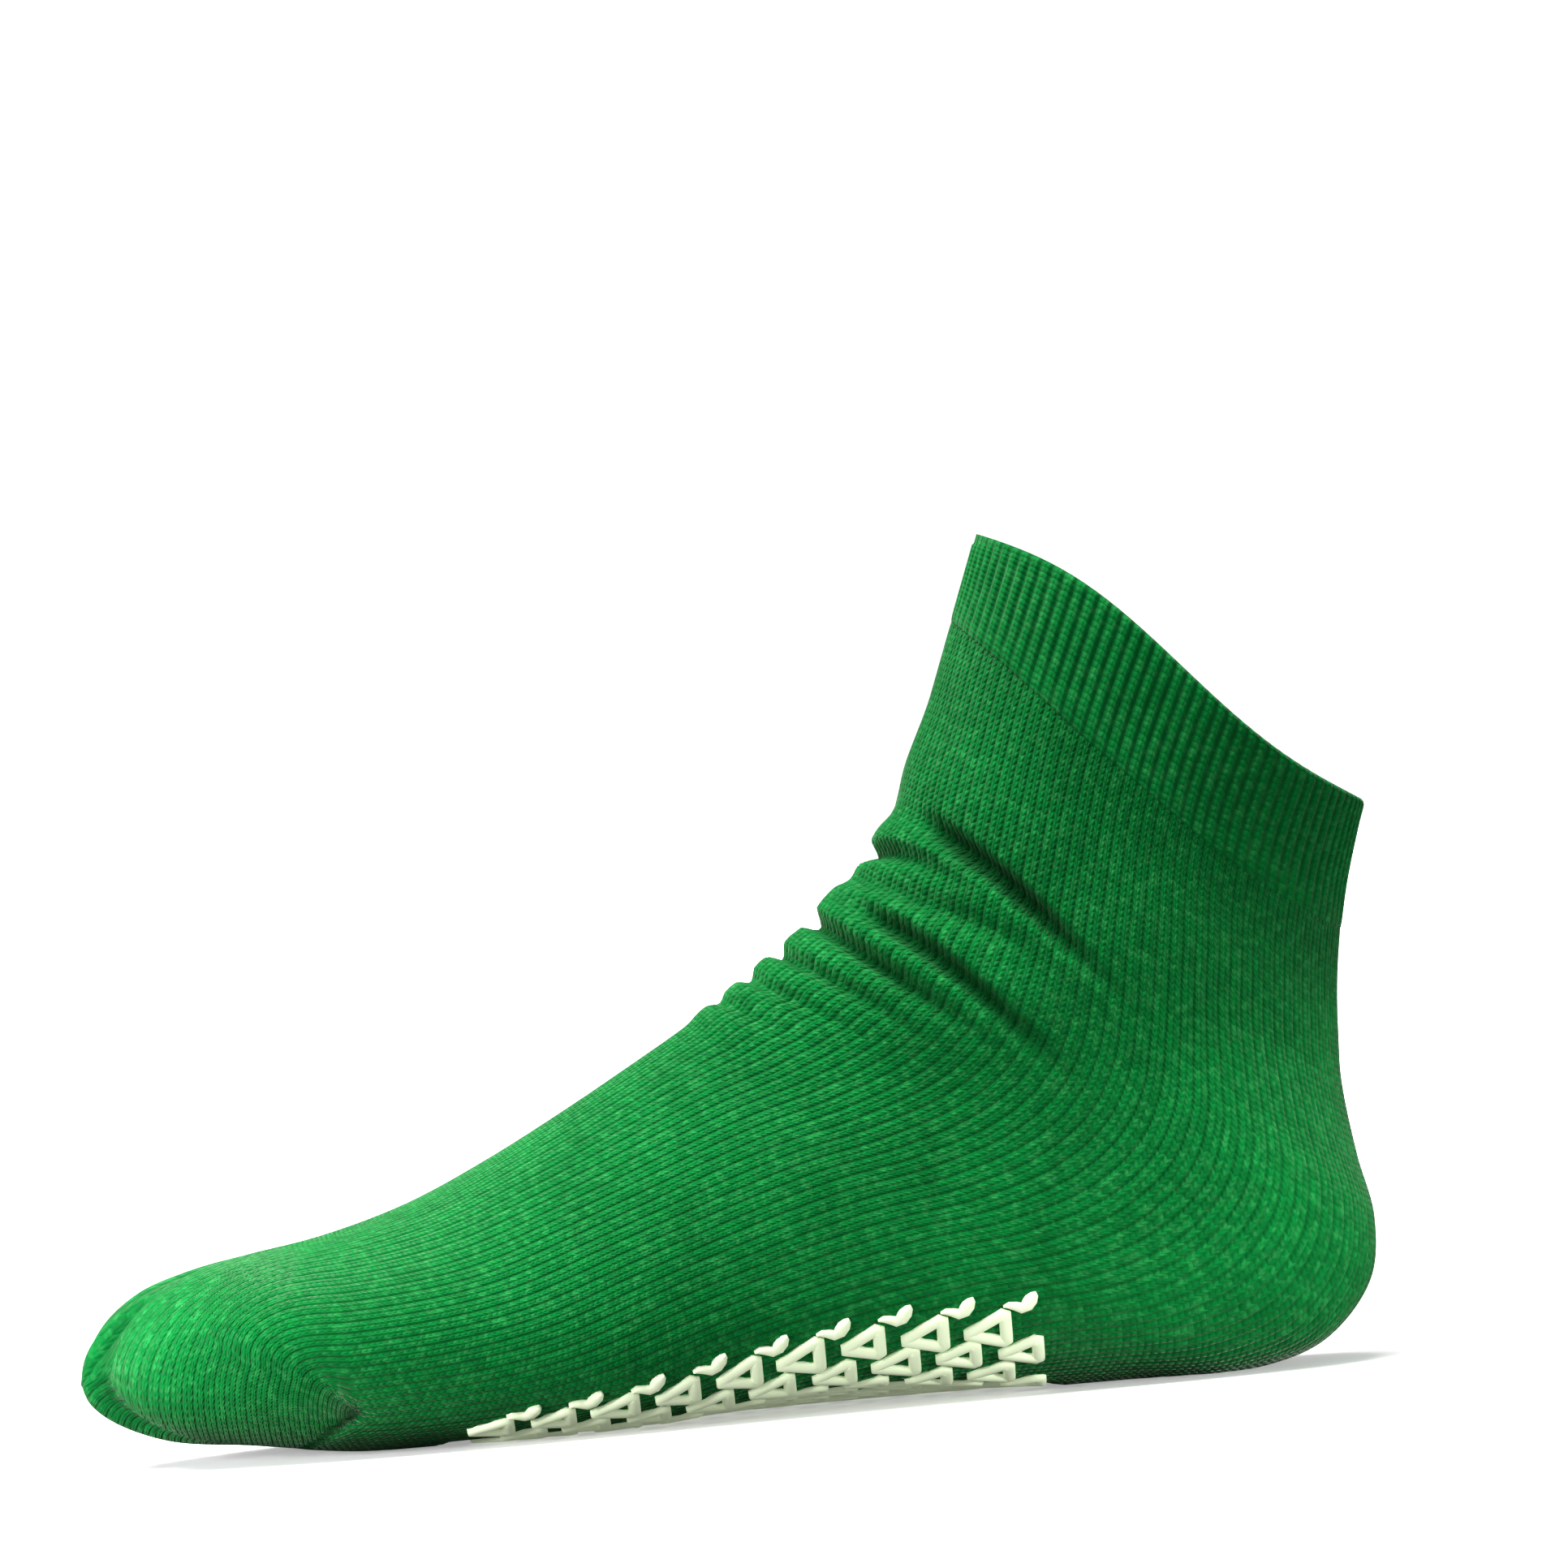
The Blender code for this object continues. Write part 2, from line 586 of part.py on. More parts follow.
def face_of_ring(bm, around, hole):
    """Faces between a triangle and its opening: a fan at each corner and half a bar on each side of it."""
    each = len(around) // 3
    for k in range(3):
        corner = around[k * each:(k + 1) * each - 1]
        before, after = around[k * each - 1], around[(k + 1) * each - 1]
        hole_before, hole_corner, hole_after = hole[2 * k - 1], hole[2 * k], hole[2 * k + 1]
        for first, second in zip(corner, corner[1:]):
            bm.faces.new((first, second, hole_corner))
        bm.faces.new((before, corner[0], hole_corner, hole_before))
        bm.faces.new((corner[-1], after, hole_after, hole_corner))


def grips(material):
    """The printed grips under the sole and up the arch."""
    chart = SoleChart()
    made = []
    for row in GRIP_ROWS:
        for k in range(GRIP_COLUMNS):
            length = PRINT_START + (k + 0.5) * GRIP_PITCH
            made.append(grip(f"grip_{row.name}_{k + 1}", chart, length, row.wales, material))
    return made


def centred(parts):
    """Moves every mesh so that the origin lies on the floor, under the middle of the sock."""
    corners = np.array([vertex.co for part in parts for vertex in part.data.vertices])
    middle = (corners.min(axis=0) + corners.max(axis=0)) / 2
    for part in parts:
        for vertex in part.data.vertices:
            vertex.co.x -= middle[0]
            vertex.co.y -= middle[1]


def main():
    for thing in list(bpy.data.objects):
        bpy.data.objects.remove(thing, do_unlink=True)
    parts = [knit_sock(made_material(KNIT)), cuff(made_material(RIB))]
    parts += grips(made_material(RUBBER))
    centred(parts)


main()
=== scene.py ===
import math
from collections import namedtuple

import bmesh
import bpy
import numpy as np
from mathutils import Matrix, Vector
from mathutils.kdtree import KDTree


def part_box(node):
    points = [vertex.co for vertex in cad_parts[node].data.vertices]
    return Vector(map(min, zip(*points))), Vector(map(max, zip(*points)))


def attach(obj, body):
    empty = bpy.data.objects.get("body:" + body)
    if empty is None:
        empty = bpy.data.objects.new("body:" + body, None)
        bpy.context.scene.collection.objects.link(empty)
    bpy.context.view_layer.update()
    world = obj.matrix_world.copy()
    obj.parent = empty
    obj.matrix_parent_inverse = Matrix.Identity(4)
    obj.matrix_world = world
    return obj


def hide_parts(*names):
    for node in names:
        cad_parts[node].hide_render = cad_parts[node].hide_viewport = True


bl_info = {
    "name": "Slipper sock",
    "version": (1, 0, 0),
    "blender": (4, 5, 0),
    "location": "View3D > Sidebar > Sock",
    "description": "Knits the slipper sock over its solid model: body, cuff, printed grips and stage",
    "category": "Object",
}

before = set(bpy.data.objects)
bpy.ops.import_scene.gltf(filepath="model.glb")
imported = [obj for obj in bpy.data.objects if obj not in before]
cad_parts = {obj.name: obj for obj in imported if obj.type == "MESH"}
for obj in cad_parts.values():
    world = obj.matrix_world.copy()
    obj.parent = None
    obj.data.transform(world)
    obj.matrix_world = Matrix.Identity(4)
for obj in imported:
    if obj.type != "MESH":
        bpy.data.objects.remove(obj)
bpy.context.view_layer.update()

# One row for each section of the foot, from the bend of the ankle to the toe tip.
# top_x and sole_x are shares of the foot's length from the toe. top is 0 on the floor, 1 at the toe height and 2 at
# the bend height, and sole is a share of the heel notch height. inner and outer are half widths as shares of the
# heel's width where fore is 0 and of the ball's where it is 1, and crest is the sideways place of the top line as a
# share of the same width. waist is how high the widest point lies, and over, under_in and under_out are the
# exponents of the curve above it and of the curves below it on the inner and outer side.
Foot = namedtuple("Foot", "top_x top sole_x sole fore inner outer crest waist over under_in under_out")
FOOT_SECTIONS = (
    Foot(0.6690, 2.000, 0.9850, 1.000, 0.0, 0.530, 0.530, -0.03, 0.48, 2.0, 1.85, 1.85),
    Foot(0.6440, 1.850, 0.9920, 0.704, 0.0, 0.540, 0.540, -0.04, 0.44, 2.0, 1.95, 1.95),
    Foot(0.6145, 1.737, 1.0010, 0.480, 0.0, 0.540, 0.540, -0.06, 0.40, 2.0, 2.10, 2.10),
    Foot(0.5830, 1.648, 0.9940, 0.270, 0.0, 0.530, 0.535, -0.08, 0.36, 2.0, 2.20, 2.20),
    Foot(0.5490, 1.580, 0.9570, 0.080, 0.0, 0.515, 0.530, -0.10, 0.33, 2.0, 2.40, 2.40),
    Foot(0.5085, 1.504, 0.8950, -0.005, 0.1, 0.500, 0.520, -0.11, 0.32, 2.0, 2.50, 2.60),
    Foot(0.4575, 1.407, 0.8050, -0.006, 0.3, 0.470, 0.500, -0.12, 0.33, 2.0, 2.20, 2.70),
    Foot(0.3920, 1.285, 0.6900, -0.006, 0.6, 0.425, 0.480, -0.12, 0.36, 2.0, 2.00, 2.80),
    Foot(0.3265, 1.172, 0.5710, -0.004, 0.8, 0.425, 0.490, -0.12, 0.36, 2.0, 2.05, 2.80),
    Foot(0.2610, 1.077, 0.4410, 0.000, 1.0, 0.440, 0.505, -0.11, 0.34, 2.0, 2.60, 2.80),
    Foot(0.1960, 1.016, 0.3180, -0.008, 1.0, 0.460, 0.525, -0.10, 0.37, 2.1, 2.80, 2.80),
    Foot(0.1390, 0.972, 0.2120, -0.004, 1.0, 0.435, 0.500, -0.10, 0.40, 2.3, 2.70, 2.70),
    Foot(0.0900, 0.914, 0.1310, 0.044, 1.0, 0.380, 0.440, -0.10, 0.44, 2.3, 2.60, 2.60),
    Foot(0.0490, 0.824, 0.0650, 0.084, 1.0, 0.310, 0.355, -0.09, 0.47, 2.2, 2.30, 2.30),
    Foot(0.0225, 0.697, 0.0265, 0.156, 1.0, 0.220, 0.250, -0.07, 0.50, 2.1, 2.10, 2.10),
    Foot(0.0065, 0.550, 0.0073, 0.228, 1.0, 0.120, 0.135, -0.04, 0.50, 2.0, 2.00, 2.00),
    Foot(0.0000, 0.415, 0.0000, 0.304, 1.0, 0.000, 0.000, -0.03, 0.50, 2.0, 2.00, 2.00),
)

# One row for each section of the leg, from the collar down to just above the bend. rise is 1 at the collar and 0 at
# the bend. bow moves the back line forwards, as a share of the leg's depth, and inner and outer are half widths as
# shares of the leg's width.
Leg = namedtuple("Leg", "rise bow inner outer waist front_round back_round")
LEG_SECTIONS = (
    Leg(1.00, 0.000, 0.505, 0.505, 0.50, 2.0, 2.0),
    Leg(0.66, 0.030, 0.495, 0.495, 0.50, 2.0, 1.9),
    Leg(0.36, 0.030, 0.505, 0.505, 0.50, 2.0, 1.85),
    Leg(0.14, 0.014, 0.520, 0.520, 0.49, 2.0, 1.85),
)

# Folds and creases across the front of the ankle. along is the place on the way from the collar to the toe tip,
# height and width are shares of the toe height, and slant and bend move it towards the toe as it goes round. start is
# how far round each side it begins and reach is where it dies out, where 1 is the back of the tube. full is 0 for a
# soft wave and 1 for a full roll with a sharp foot. A crease has a height below 0.
Fold = namedtuple("Fold", "along height width start reach slant bend full")
FOLDS = (
    Fold(0.1500, 0.025, 0.300, 0.00, 0.36, 0.030, 0.00, 0.0),
    Fold(0.2750, 0.034, 0.700, 0.00, 0.42, -0.020, 0.00, 0.0),
    Fold(0.2040, 0.048, 0.110, 0.00, 0.38, -0.160, 0.43, 0.8),
    Fold(0.2300, 0.030, 0.130, 0.00, 0.38, -0.110, 0.20, 0.5),
    Fold(0.2590, 0.054, 0.140, 0.00, 0.50, -0.155, 0.29, 0.8),
    Fold(0.2620, 0.030, 0.070, 0.14, 0.46, -0.030, 0.14, 0.4),
    Fold(0.2900, 0.037, 0.105, 0.00, 0.40, -0.030, 0.08, 0.8),
    Fold(0.3195, 0.033, 0.098, 0.00, 0.36, -0.040, 0.00, 0.8),
    Fold(0.3490, 0.027, 0.098, 0.00, 0.32, -0.070, 0.00, 0.7),
    Fold(0.3765, 0.022, 0.100, 0.00, 0.28, -0.080, 0.00, 0.6),
    Fold(0.1789, -0.115, 0.072, 0.21, 0.54, -0.042, 0.20, 0.2),
    Fold(0.2160, -0.070, 0.060, 0.02, 0.28, -0.160, 0.36, 0.3),
    Fold(0.2355, -0.036, 0.070, 0.06, 0.42, -0.068, 0.00, 0.0),
    Fold(0.2566, -0.095, 0.064, 0.17, 0.50, -0.119, 0.35, 0.2),
    Fold(0.2710, -0.072, 0.050, 0.02, 0.38, -0.016, 0.12, 0.3),
    Fold(0.3055, -0.048, 0.052, 0.01, 0.34, -0.085, 0.22, 0.3),
    Fold(0.3345, -0.032, 0.050, 0.01, 0.30, -0.060, 0.00, 0.3),
    Fold(0.3625, -0.020, 0.050, 0.01, 0.26, -0.080, 0.00, 0.3),
)
# The stretch of the tube with folds, the ways over which it fades in and out, and how much closer its rows lie
FIRST_FOLD, LAST_FOLD = 0.160, 0.377
FOLD_LEAD, FOLD_TAIL = 0.03, 0.04
FOLD_ROWS = 2.2
# Shares of the way round over which a fold grows at its start and dies out at its reach
FOLD_START, FOLD_END = 0.12, 0.24
# A roll runs level across this share of the front. Its section is rounded by a mean over shifts of its own width,
# and its power says how upright its foot is.
FRONT_ROUND = 0.06
ROLL_NUDGES = (-0.30, -0.10, 0.10, 0.30)
ROLL_POWER = 0.75
# Depth of a crease, over the toe height, at which its painted shade is darkest
HOLLOW_DEPTH = 0.075

# How far the wales of the side lie from even spacing, towards the sole, at places on the way from the collar to the
# toe tip, as a share of the way from the top line to the sole line.
WaleShift = namedtuple("WaleShift", "along shift")
WALE_SHIFTS = (
    WaleShift(0.00, 0.024),
    WaleShift(0.08, 0.006),
    WaleShift(0.18, 0.000),
    WaleShift(0.27, -0.022),
    WaleShift(0.35, -0.050),
    WaleShift(0.43, -0.062),
    WaleShift(0.54, -0.045),
    WaleShift(0.68, -0.010),
    WaleShift(0.80, 0.000),
    WaleShift(1.00, 0.000),
)

# Soft bumps under the cloth, at the ankle bones and the big toe: x is a share of the foot's length, y of the heel's
# width, z of the heel notch height, and height and size are shares of the heel's width.
Bump = namedtuple("Bump", "x y z height size")
BUMPS = (
    Bump(0.835, -0.52, 1.45, 0.030, 0.36),
    Bump(0.870, 0.52, 1.25, 0.032, 0.34),
    Bump(0.050, -0.46, 0.27, 0.030, 0.28),
)

# Grooves where the cloth spans from toe to toe: y is a share of the ball's width, depth and width are shares of the
# toe height, reach is how far back it runs, as a share of the foot's length, and dark is how much painted shade it
# gets.
Groove = namedtuple("Groove", "y depth width reach dark")
TOE_GROOVES = (
    Groove(-0.140, 0.070, 0.075, 0.130, 0.85),
    Groove(0.090, 0.009, 0.080, 0.100, 0.10),
    Groove(0.215, 0.012, 0.080, 0.120, 0.10),
    Groove(0.350, 0.030, 0.080, 0.150, 0.10),
)

# The cuff's outline in section. along is a share of the cuff's length, or of the rim's height where rim is 1, and
# across is 0 at the turned edge inside and 1 on the outer face. rib is how much of the rib's height shows there.
CuffPoint = namedtuple("CuffPoint", "along rim across rib")
CUFF_PROFILE = (
    CuffPoint(1.040, 0, 0.88, 0.00),
    CuffPoint(1.015, 0, 0.95, 0.05),
    CuffPoint(0.960, 0, 0.99, 0.20),
    CuffPoint(0.880, 0, 1.00, 0.45),
    CuffPoint(0.780, 0, 1.00, 0.70),
    CuffPoint(0.680, 0, 1.00, 0.90),
    CuffPoint(0.560, 0, 1.00, 1.00),
    CuffPoint(0.440, 0, 1.00, 1.00),
    CuffPoint(0.320, 0, 1.00, 1.00),
    CuffPoint(0.210, 0, 1.00, 1.00),
    CuffPoint(0.130, 0, 1.00, 0.95),
    CuffPoint(1.000, 1, 1.03, 0.80),
    CuffPoint(0.600, 1, 1.02, 0.70),
    CuffPoint(0.250, 1, 0.92, 0.60),
    CuffPoint(0.050, 1, 0.74, 0.55),
    CuffPoint(0.000, 1, 0.50, 0.50),
    CuffPoint(0.050, 1, 0.26, 0.45),
    CuffPoint(0.250, 1, 0.10, 0.45),
    CuffPoint(0.600, 1, 0.00, 0.40),
    CuffPoint(1.000, 1, 0.00, 0.30),
    CuffPoint(1.000, 1, 0.52, 0.00),
    CuffPoint(0.500, 0, 0.52, 0.00),
    CuffPoint(0.970, 0, 0.52, 0.00),
    CuffPoint(1.040, 0, 0.78, 0.00),
)

# One row for each row of grips, from the outer side to the inner side: wales is its distance from the middle of the
# sole, towards the inner side, and shift is how far it starts after the others, counted in pitches.
GripRow = namedtuple("GripRow", "wales shift count")
GRIP_ROWS = (
    GripRow(-17.5, 0.0, 9),
    GripRow(-14.0, 0.5, 9),
    GripRow(-10.5, 0.0, 9),
    GripRow(-7.0, 0.5, 9),
    GripRow(-3.5, 0.0, 9),
    GripRow(0.0, 0.5, 9),
    GripRow(3.5, 0.0, 9),
    GripRow(7.0, 0.5, 9),
    GripRow(10.5, 0.0, 9),
    GripRow(14.0, 0.5, 9),
    GripRow(17.5, 0.0, 9),
)

# Half marks along the two long edges of the print, in the same terms
TICK_ROWS = (
    GripRow(-19.9, 0.5, 9),
    GripRow(19.9, 0.5, 9),
)

# The middle line of a grip's bars from corner to corner, in shares of its side: towards the heel and towards the
# inner side. Its long corner points to the toe.
GripCorner = namedtuple("GripCorner", "x y")
GRIP_CORNERS = (
    GripCorner(-0.53, 0.00),
    GripCorner(0.27, -0.36),
    GripCorner(0.27, 0.36),
)
CORNER_SHARES = (0.04, 0.20, 0.50, 0.80, 0.96)

# A mark's middle line, in shares of the grip's side: towards the heel, towards the inner side, and the bar's width
TickPoint = namedtuple("TickPoint", "x y width")
TICK_LINE = (
    TickPoint(-0.38, 0.03, 0.02),
    TickPoint(-0.28, 0.03, 0.12),
    TickPoint(-0.14, -0.02, 0.17),
    TickPoint(-0.01, -0.09, 0.22),
    TickPoint(0.11, -0.04, 0.30),
    TickPoint(0.20, 0.06, 0.29),
    TickPoint(0.27, 0.15, 0.18),
    TickPoint(0.30, 0.20, 0.02),
)

# A bar's section, in shares of half its width and of its height
BAR_PROFILE = ((-1.0, -0.1), (-0.96, 0.45), (-0.68, 0.86), (0.0, 1.0), (0.68, 0.86), (0.96, 0.45), (1.0, -0.1))
# The grip of a row at which the rows start to close in on the middle, and over how many grips they do
CLOSING_START, CLOSING_GRIPS = 5.5, 3.5

# Heights over a pair of stitch columns, in shares of the ridge: the deep groove, a wale, the shallow groove, a wale
PAIR_RELIEF = (-0.85, 0.45, -0.30, 0.45, -0.85)
# The same in the toe pocket, as the top of a wave and half its depth, and where under the toes it dies out
TOE_CREST, TOE_WAVE = 0.30, 0.65
UNDER_TOES, UNDER_FADE = 0.58, 0.22
# Where the wales die out at the tip, and where the rows crowd together for the toe pocket
TIP_START = 0.965
POCKET_START, POCKET_LEAD = 0.78, 0.03
# How far back the big toe's setback is felt, over the foot's length
BIG_TOE_REACH = 0.15
# Round the gore's end, in shares of the toe height: how far behind it the outline is followed, the mean radius of the
# turn, and how wide and how soon above it the pocket blends into the foot, after a least width in metres
RIM_BEHIND = 0.25
TURN_RADIUS = 0.62
POCKET_BLEND, POCKET_RISE, POCKET_EDGE = 0.80, 0.5, 0.001
# How far the pocket's first wales are evened out, and the share of the gore's height in which its seam fades
EVENED = 0.6
SEAM_FALL = 0.7
# How far round the lining keeps clear of the creases, and over what share it comes back
LINING_FRONT, LINING_FADE = 0.5, 0.25
# How narrow the grooves between the cuff's ribs are, where 1 is a plain wave
RIB_POWER = 0.7

# The key light's direction, and the soft boxes: size, place and target in metres, and spread in degrees
KEY_DIRECTION = (-0.30, -0.10, 0.95)
SoftBox = namedtuple("SoftBox", "size place target spread")
TOE_BOX = SoftBox(0.12, (-0.36, -0.30, 0.10), (-0.115, -0.02, 0.03), 30.0)
HEEL_BOX = SoftBox(0.10, (0.27, -0.20, 0.02), (0.100, -0.02, 0.010), 24.0)

ROOT = "root"
OUTLINE_STEPS = 480
SPACING_STEPS = 4800
PROBE_START, PROBE_ROWS, PROBE_COLUMNS = 0.03, 60, 80
CHART_START, CHART_ROWS = 0.35, 200
WELD = 1e-7
SAME_PLACE = 1e-5
FLOOR_GAP = 0.00002
FLOOR_SIZE, FLOOR_DROP = 6.0, 0.0002


class SockForm(bpy.types.PropertyGroup):
    """Sizes of the sock on the foot, as in its solid model."""

    foot_length: bpy.props.FloatProperty(
        name="Foot length", description="From the toe tip to the heel", default=0.245, unit="LENGTH")
    ball_width: bpy.props.FloatProperty(
        name="Ball width", description="Width across the ball of the foot", default=0.095, unit="LENGTH")
    heel_width: bpy.props.FloatProperty(
        name="Heel width", description="Width across the heel", default=0.064, unit="LENGTH")
    toe_height: bpy.props.FloatProperty(
        name="Toe height", description="Height over the toes", default=0.0395, unit="LENGTH")
    bend_height: bpy.props.FloatProperty(
        name="Bend height", description="Height of the bend of the ankle in front", default=0.1125, unit="LENGTH")
    heel_notch_height: bpy.props.FloatProperty(
        name="Heel notch height", description="Height of the hollow over the heel", default=0.054, unit="LENGTH")
    arch_height: bpy.props.FloatProperty(
        name="Arch height", description="How high the cloth is held under the arch", default=0.0045, unit="LENGTH")
    arch_centre: bpy.props.FloatProperty(
        name="Arch centre", description="Share of the foot's length from the toe", default=0.600)
    arch_half_length: bpy.props.FloatProperty(
        name="Arch half length", description="Share of the foot's length", default=0.200)
    arch_inner: bpy.props.FloatProperty(
        name="Arch inner edge", description="Where the arch is highest, as a share of the ball width", default=-0.34)
    arch_outer: bpy.props.FloatProperty(
        name="Arch outer edge", description="Where the arch ends, as a share of the ball width", default=0.16)
    arch_round: bpy.props.FloatProperty(
        name="Arch round", description="How the arch rises from its outer edge", default=1.5)
    leg_width: bpy.props.FloatProperty(
        name="Leg width", description="Width of the leg", default=0.064, unit="LENGTH")
    leg_depth: bpy.props.FloatProperty(
        name="Leg depth", description="Depth of the leg along the foot", default=0.0680, unit="LENGTH")
    collar_setback: bpy.props.FloatProperty(
        name="Collar setback", description="From the toe tip to the collar's middle", default=0.2164, unit="LENGTH")
    collar_front_height: bpy.props.FloatProperty(
        name="Collar front height", description="Height of the collar in front", default=0.1607, unit="LENGTH")
    collar_back_height: bpy.props.FloatProperty(
        name="Collar back height", description="Height of the collar at the back", default=0.1045, unit="LENGTH")
    collar_sway: bpy.props.FloatProperty(
        name="Collar sway", description="How far the collar's edge sways out of a plane", default=0.0032,
        unit="LENGTH")
    sway_end: bpy.props.FloatProperty(
        name="Sway end", description="Share of the way to the toe where the sway has died out", default=0.25)
    sway_lift: bpy.props.FloatProperty(
        name="Sway lift", description="Share of the sway that lifts the collar's sides", default=0.5)
    slant_start: bpy.props.FloatProperty(
        name="Toe slant start", description="Where the toe tips start to slant back, over ball width", default=-0.03)
    slant_width: bpy.props.FloatProperty(
        name="Toe slant width", description="Over this share of the ball width", default=0.50)
    slant_depth: bpy.props.FloatProperty(
        name="Toe slant depth", description="How far back the little toe lies, over foot length", default=0.135)
    slant_reach: bpy.props.FloatProperty(
        name="Toe slant reach", description="How far back the slant is felt, over foot length", default=0.36)
    big_toe_y: bpy.props.FloatProperty(
        name="Big toe edge", description="Where the big toe starts, over ball width", default=-0.105)
    big_toe_edge: bpy.props.FloatProperty(
        name="Big toe edge width", description="Over this share of the ball width", default=0.095)
    big_toe_back: bpy.props.FloatProperty(
        name="Big toe back", description="How far the big toe lies back from the next one, over foot length",
        default=0.018)
    slant_fade: bpy.props.FloatProperty(
        name="Toe slant fade", description="How fast the slant dies out behind the toes", default=1.5)


class SockKnit(bpy.types.PropertyGroup):
    """Sizes and colours of the knit."""

    wall: bpy.props.FloatProperty(
        name="Wall", description="Thickness of the jersey", default=0.0015, unit="LENGTH")
    clearance: bpy.props.FloatProperty(
        name="Clearance", description="Gap between neighbouring solids", default=0.0003, unit="LENGTH")
    wales: bpy.props.IntProperty(
        name="Wale pairs", description="Pairs of stitch columns around the sock", default=88)
    columns_per_pair: bpy.props.IntProperty(
        name="Columns per pair", description="Mesh columns for each pair of stitch columns", default=4)
    rows_outside: bpy.props.IntProperty(
        name="Rows outside", description="Mesh rows from the cuff to the toe", default=248)
    rows_inside: bpy.props.IntProperty(
        name="Rows inside", description="Mesh rows of the inner face", default=60)
    crowding: bpy.props.FloatProperty(
        name="Crowding", description="How much closer the rows lie at the folds and the toes", default=0.7)
    ridge: bpy.props.FloatProperty(
        name="Wale ridge", description="How far a wale stands out of its groove", default=0.00024, unit="LENGTH")
    toe_ridge: bpy.props.FloatProperty(
        name="Toe ridge", description="How much deeper the wales of the toe pocket are", default=1.7)
    crease_ridge: bpy.props.FloatProperty(
        name="Crease ridge", description="How much deeper the wales are on the folds", default=1.0)
    crease_room: bpy.props.FloatProperty(
        name="Crease room", description="How far the inner face keeps clear of the creases", default=0.0048,
        unit="LENGTH")
    courses: bpy.props.FloatProperty(
        name="Courses", description="Stitch rows from the collar to the toe tip", default=260.0)
    gore_x: bpy.props.FloatProperty(
        name="Gore end", description="Where the toe pocket's gore ends, over foot length", default=0.216)
    gore_z: bpy.props.FloatProperty(
        name="Gore height", description="Height of the gore's end over the toe height", default=0.20)
    seam_depth: bpy.props.FloatProperty(
        name="Toe seam depth", description="Depth of the crease at the toe's linking seam", default=0.0010,
        unit="LENGTH")
    seam_width: bpy.props.FloatProperty(
        name="Toe seam width", description="Width of that crease", default=0.0030, unit="LENGTH")
    seam_lean: bpy.props.FloatProperty(
        name="Toe seam lean", description="How far the seam runs forwards for each length down", default=1.8)
    colour: bpy.props.FloatVectorProperty(
        name="Green", description="Colour of the yarn", subtype="COLOR", size=3, default=(0.0021, 0.157, 0.0275),
        min=0.0, max=1.0)
    # Painted shade: this dark green is mixed into the grooves between the wales, the stitches' low parts and the
    # creases.
    groove_shade_colour: bpy.props.FloatVectorProperty(
        name="Groove green", description="Colour down between the wales", subtype="COLOR", size=3,
        default=(0.0008, 0.036, 0.007), min=0.0, max=1.0)
    fuzz_colour: bpy.props.FloatVectorProperty(
        name="Fuzz green", description="Colour of the loose fibres", subtype="COLOR", size=3,
        default=(0.032, 0.300, 0.074), min=0.0, max=1.0)


class SockCuff(bpy.types.PropertyGroup):
    """Sizes of the cuff."""

    length: bpy.props.FloatProperty(
        name="Length", description="Depth of the cuff from its rim", default=0.0195, unit="LENGTH")
    wall: bpy.props.FloatProperty(
        name="Wall", description="Thickness of the outer layer", default=0.0012, unit="LENGTH")
    front_lift: bpy.props.FloatProperty(
        name="Front lift", description="How much shorter the cuff is in front", default=0.0058, unit="LENGTH")
    lift_reach: bpy.props.FloatProperty(
        name="Lift reach", description="How far round that goes, where 1 is the back", default=0.42)
    rows_under: bpy.props.IntProperty(
        name="Rows under", description="Mesh rows of the body under the shorter part", default=18)
    tuck: bpy.props.FloatProperty(
        name="Tuck", description="How far the knit reaches up under the cuff's edge", default=0.0009, unit="LENGTH")
    edge_fade: bpy.props.FloatProperty(
        name="Edge fade", description="Below the cuff the wales reach their full depth over this length",
        default=0.0030, unit="LENGTH")
    proud: bpy.props.FloatProperty(
        name="Proud", description="How far the cuff stands out of the knit below", default=0.0003, unit="LENGTH")
    welt_wall: bpy.props.FloatProperty(
        name="Welt wall", description="Thickness of the inner layer", default=0.0010, unit="LENGTH")
    rim_height: bpy.props.FloatProperty(
        name="Rim height", description="Height of the turned rim", default=0.0014, unit="LENGTH")
    ribs: bpy.props.IntProperty(
        name="Ribs", description="Ribs around the cuff", default=92)
    columns_per_rib: bpy.props.IntProperty(
        name="Columns per rib", description="Mesh columns for each rib", default=8)
    rib_height: bpy.props.FloatProperty(
        name="Rib height", description="How far a rib stands out of its groove", default=0.00045, unit="LENGTH")
    course: bpy.props.FloatProperty(
        name="Course", description="Height of one stitch row", default=0.00115, unit="LENGTH")
    colour: bpy.props.FloatVectorProperty(
        name="Rib green", description="Colour of the ribs", subtype="COLOR", size=3, default=(0.0023, 0.170, 0.030),
        min=0.0, max=1.0)


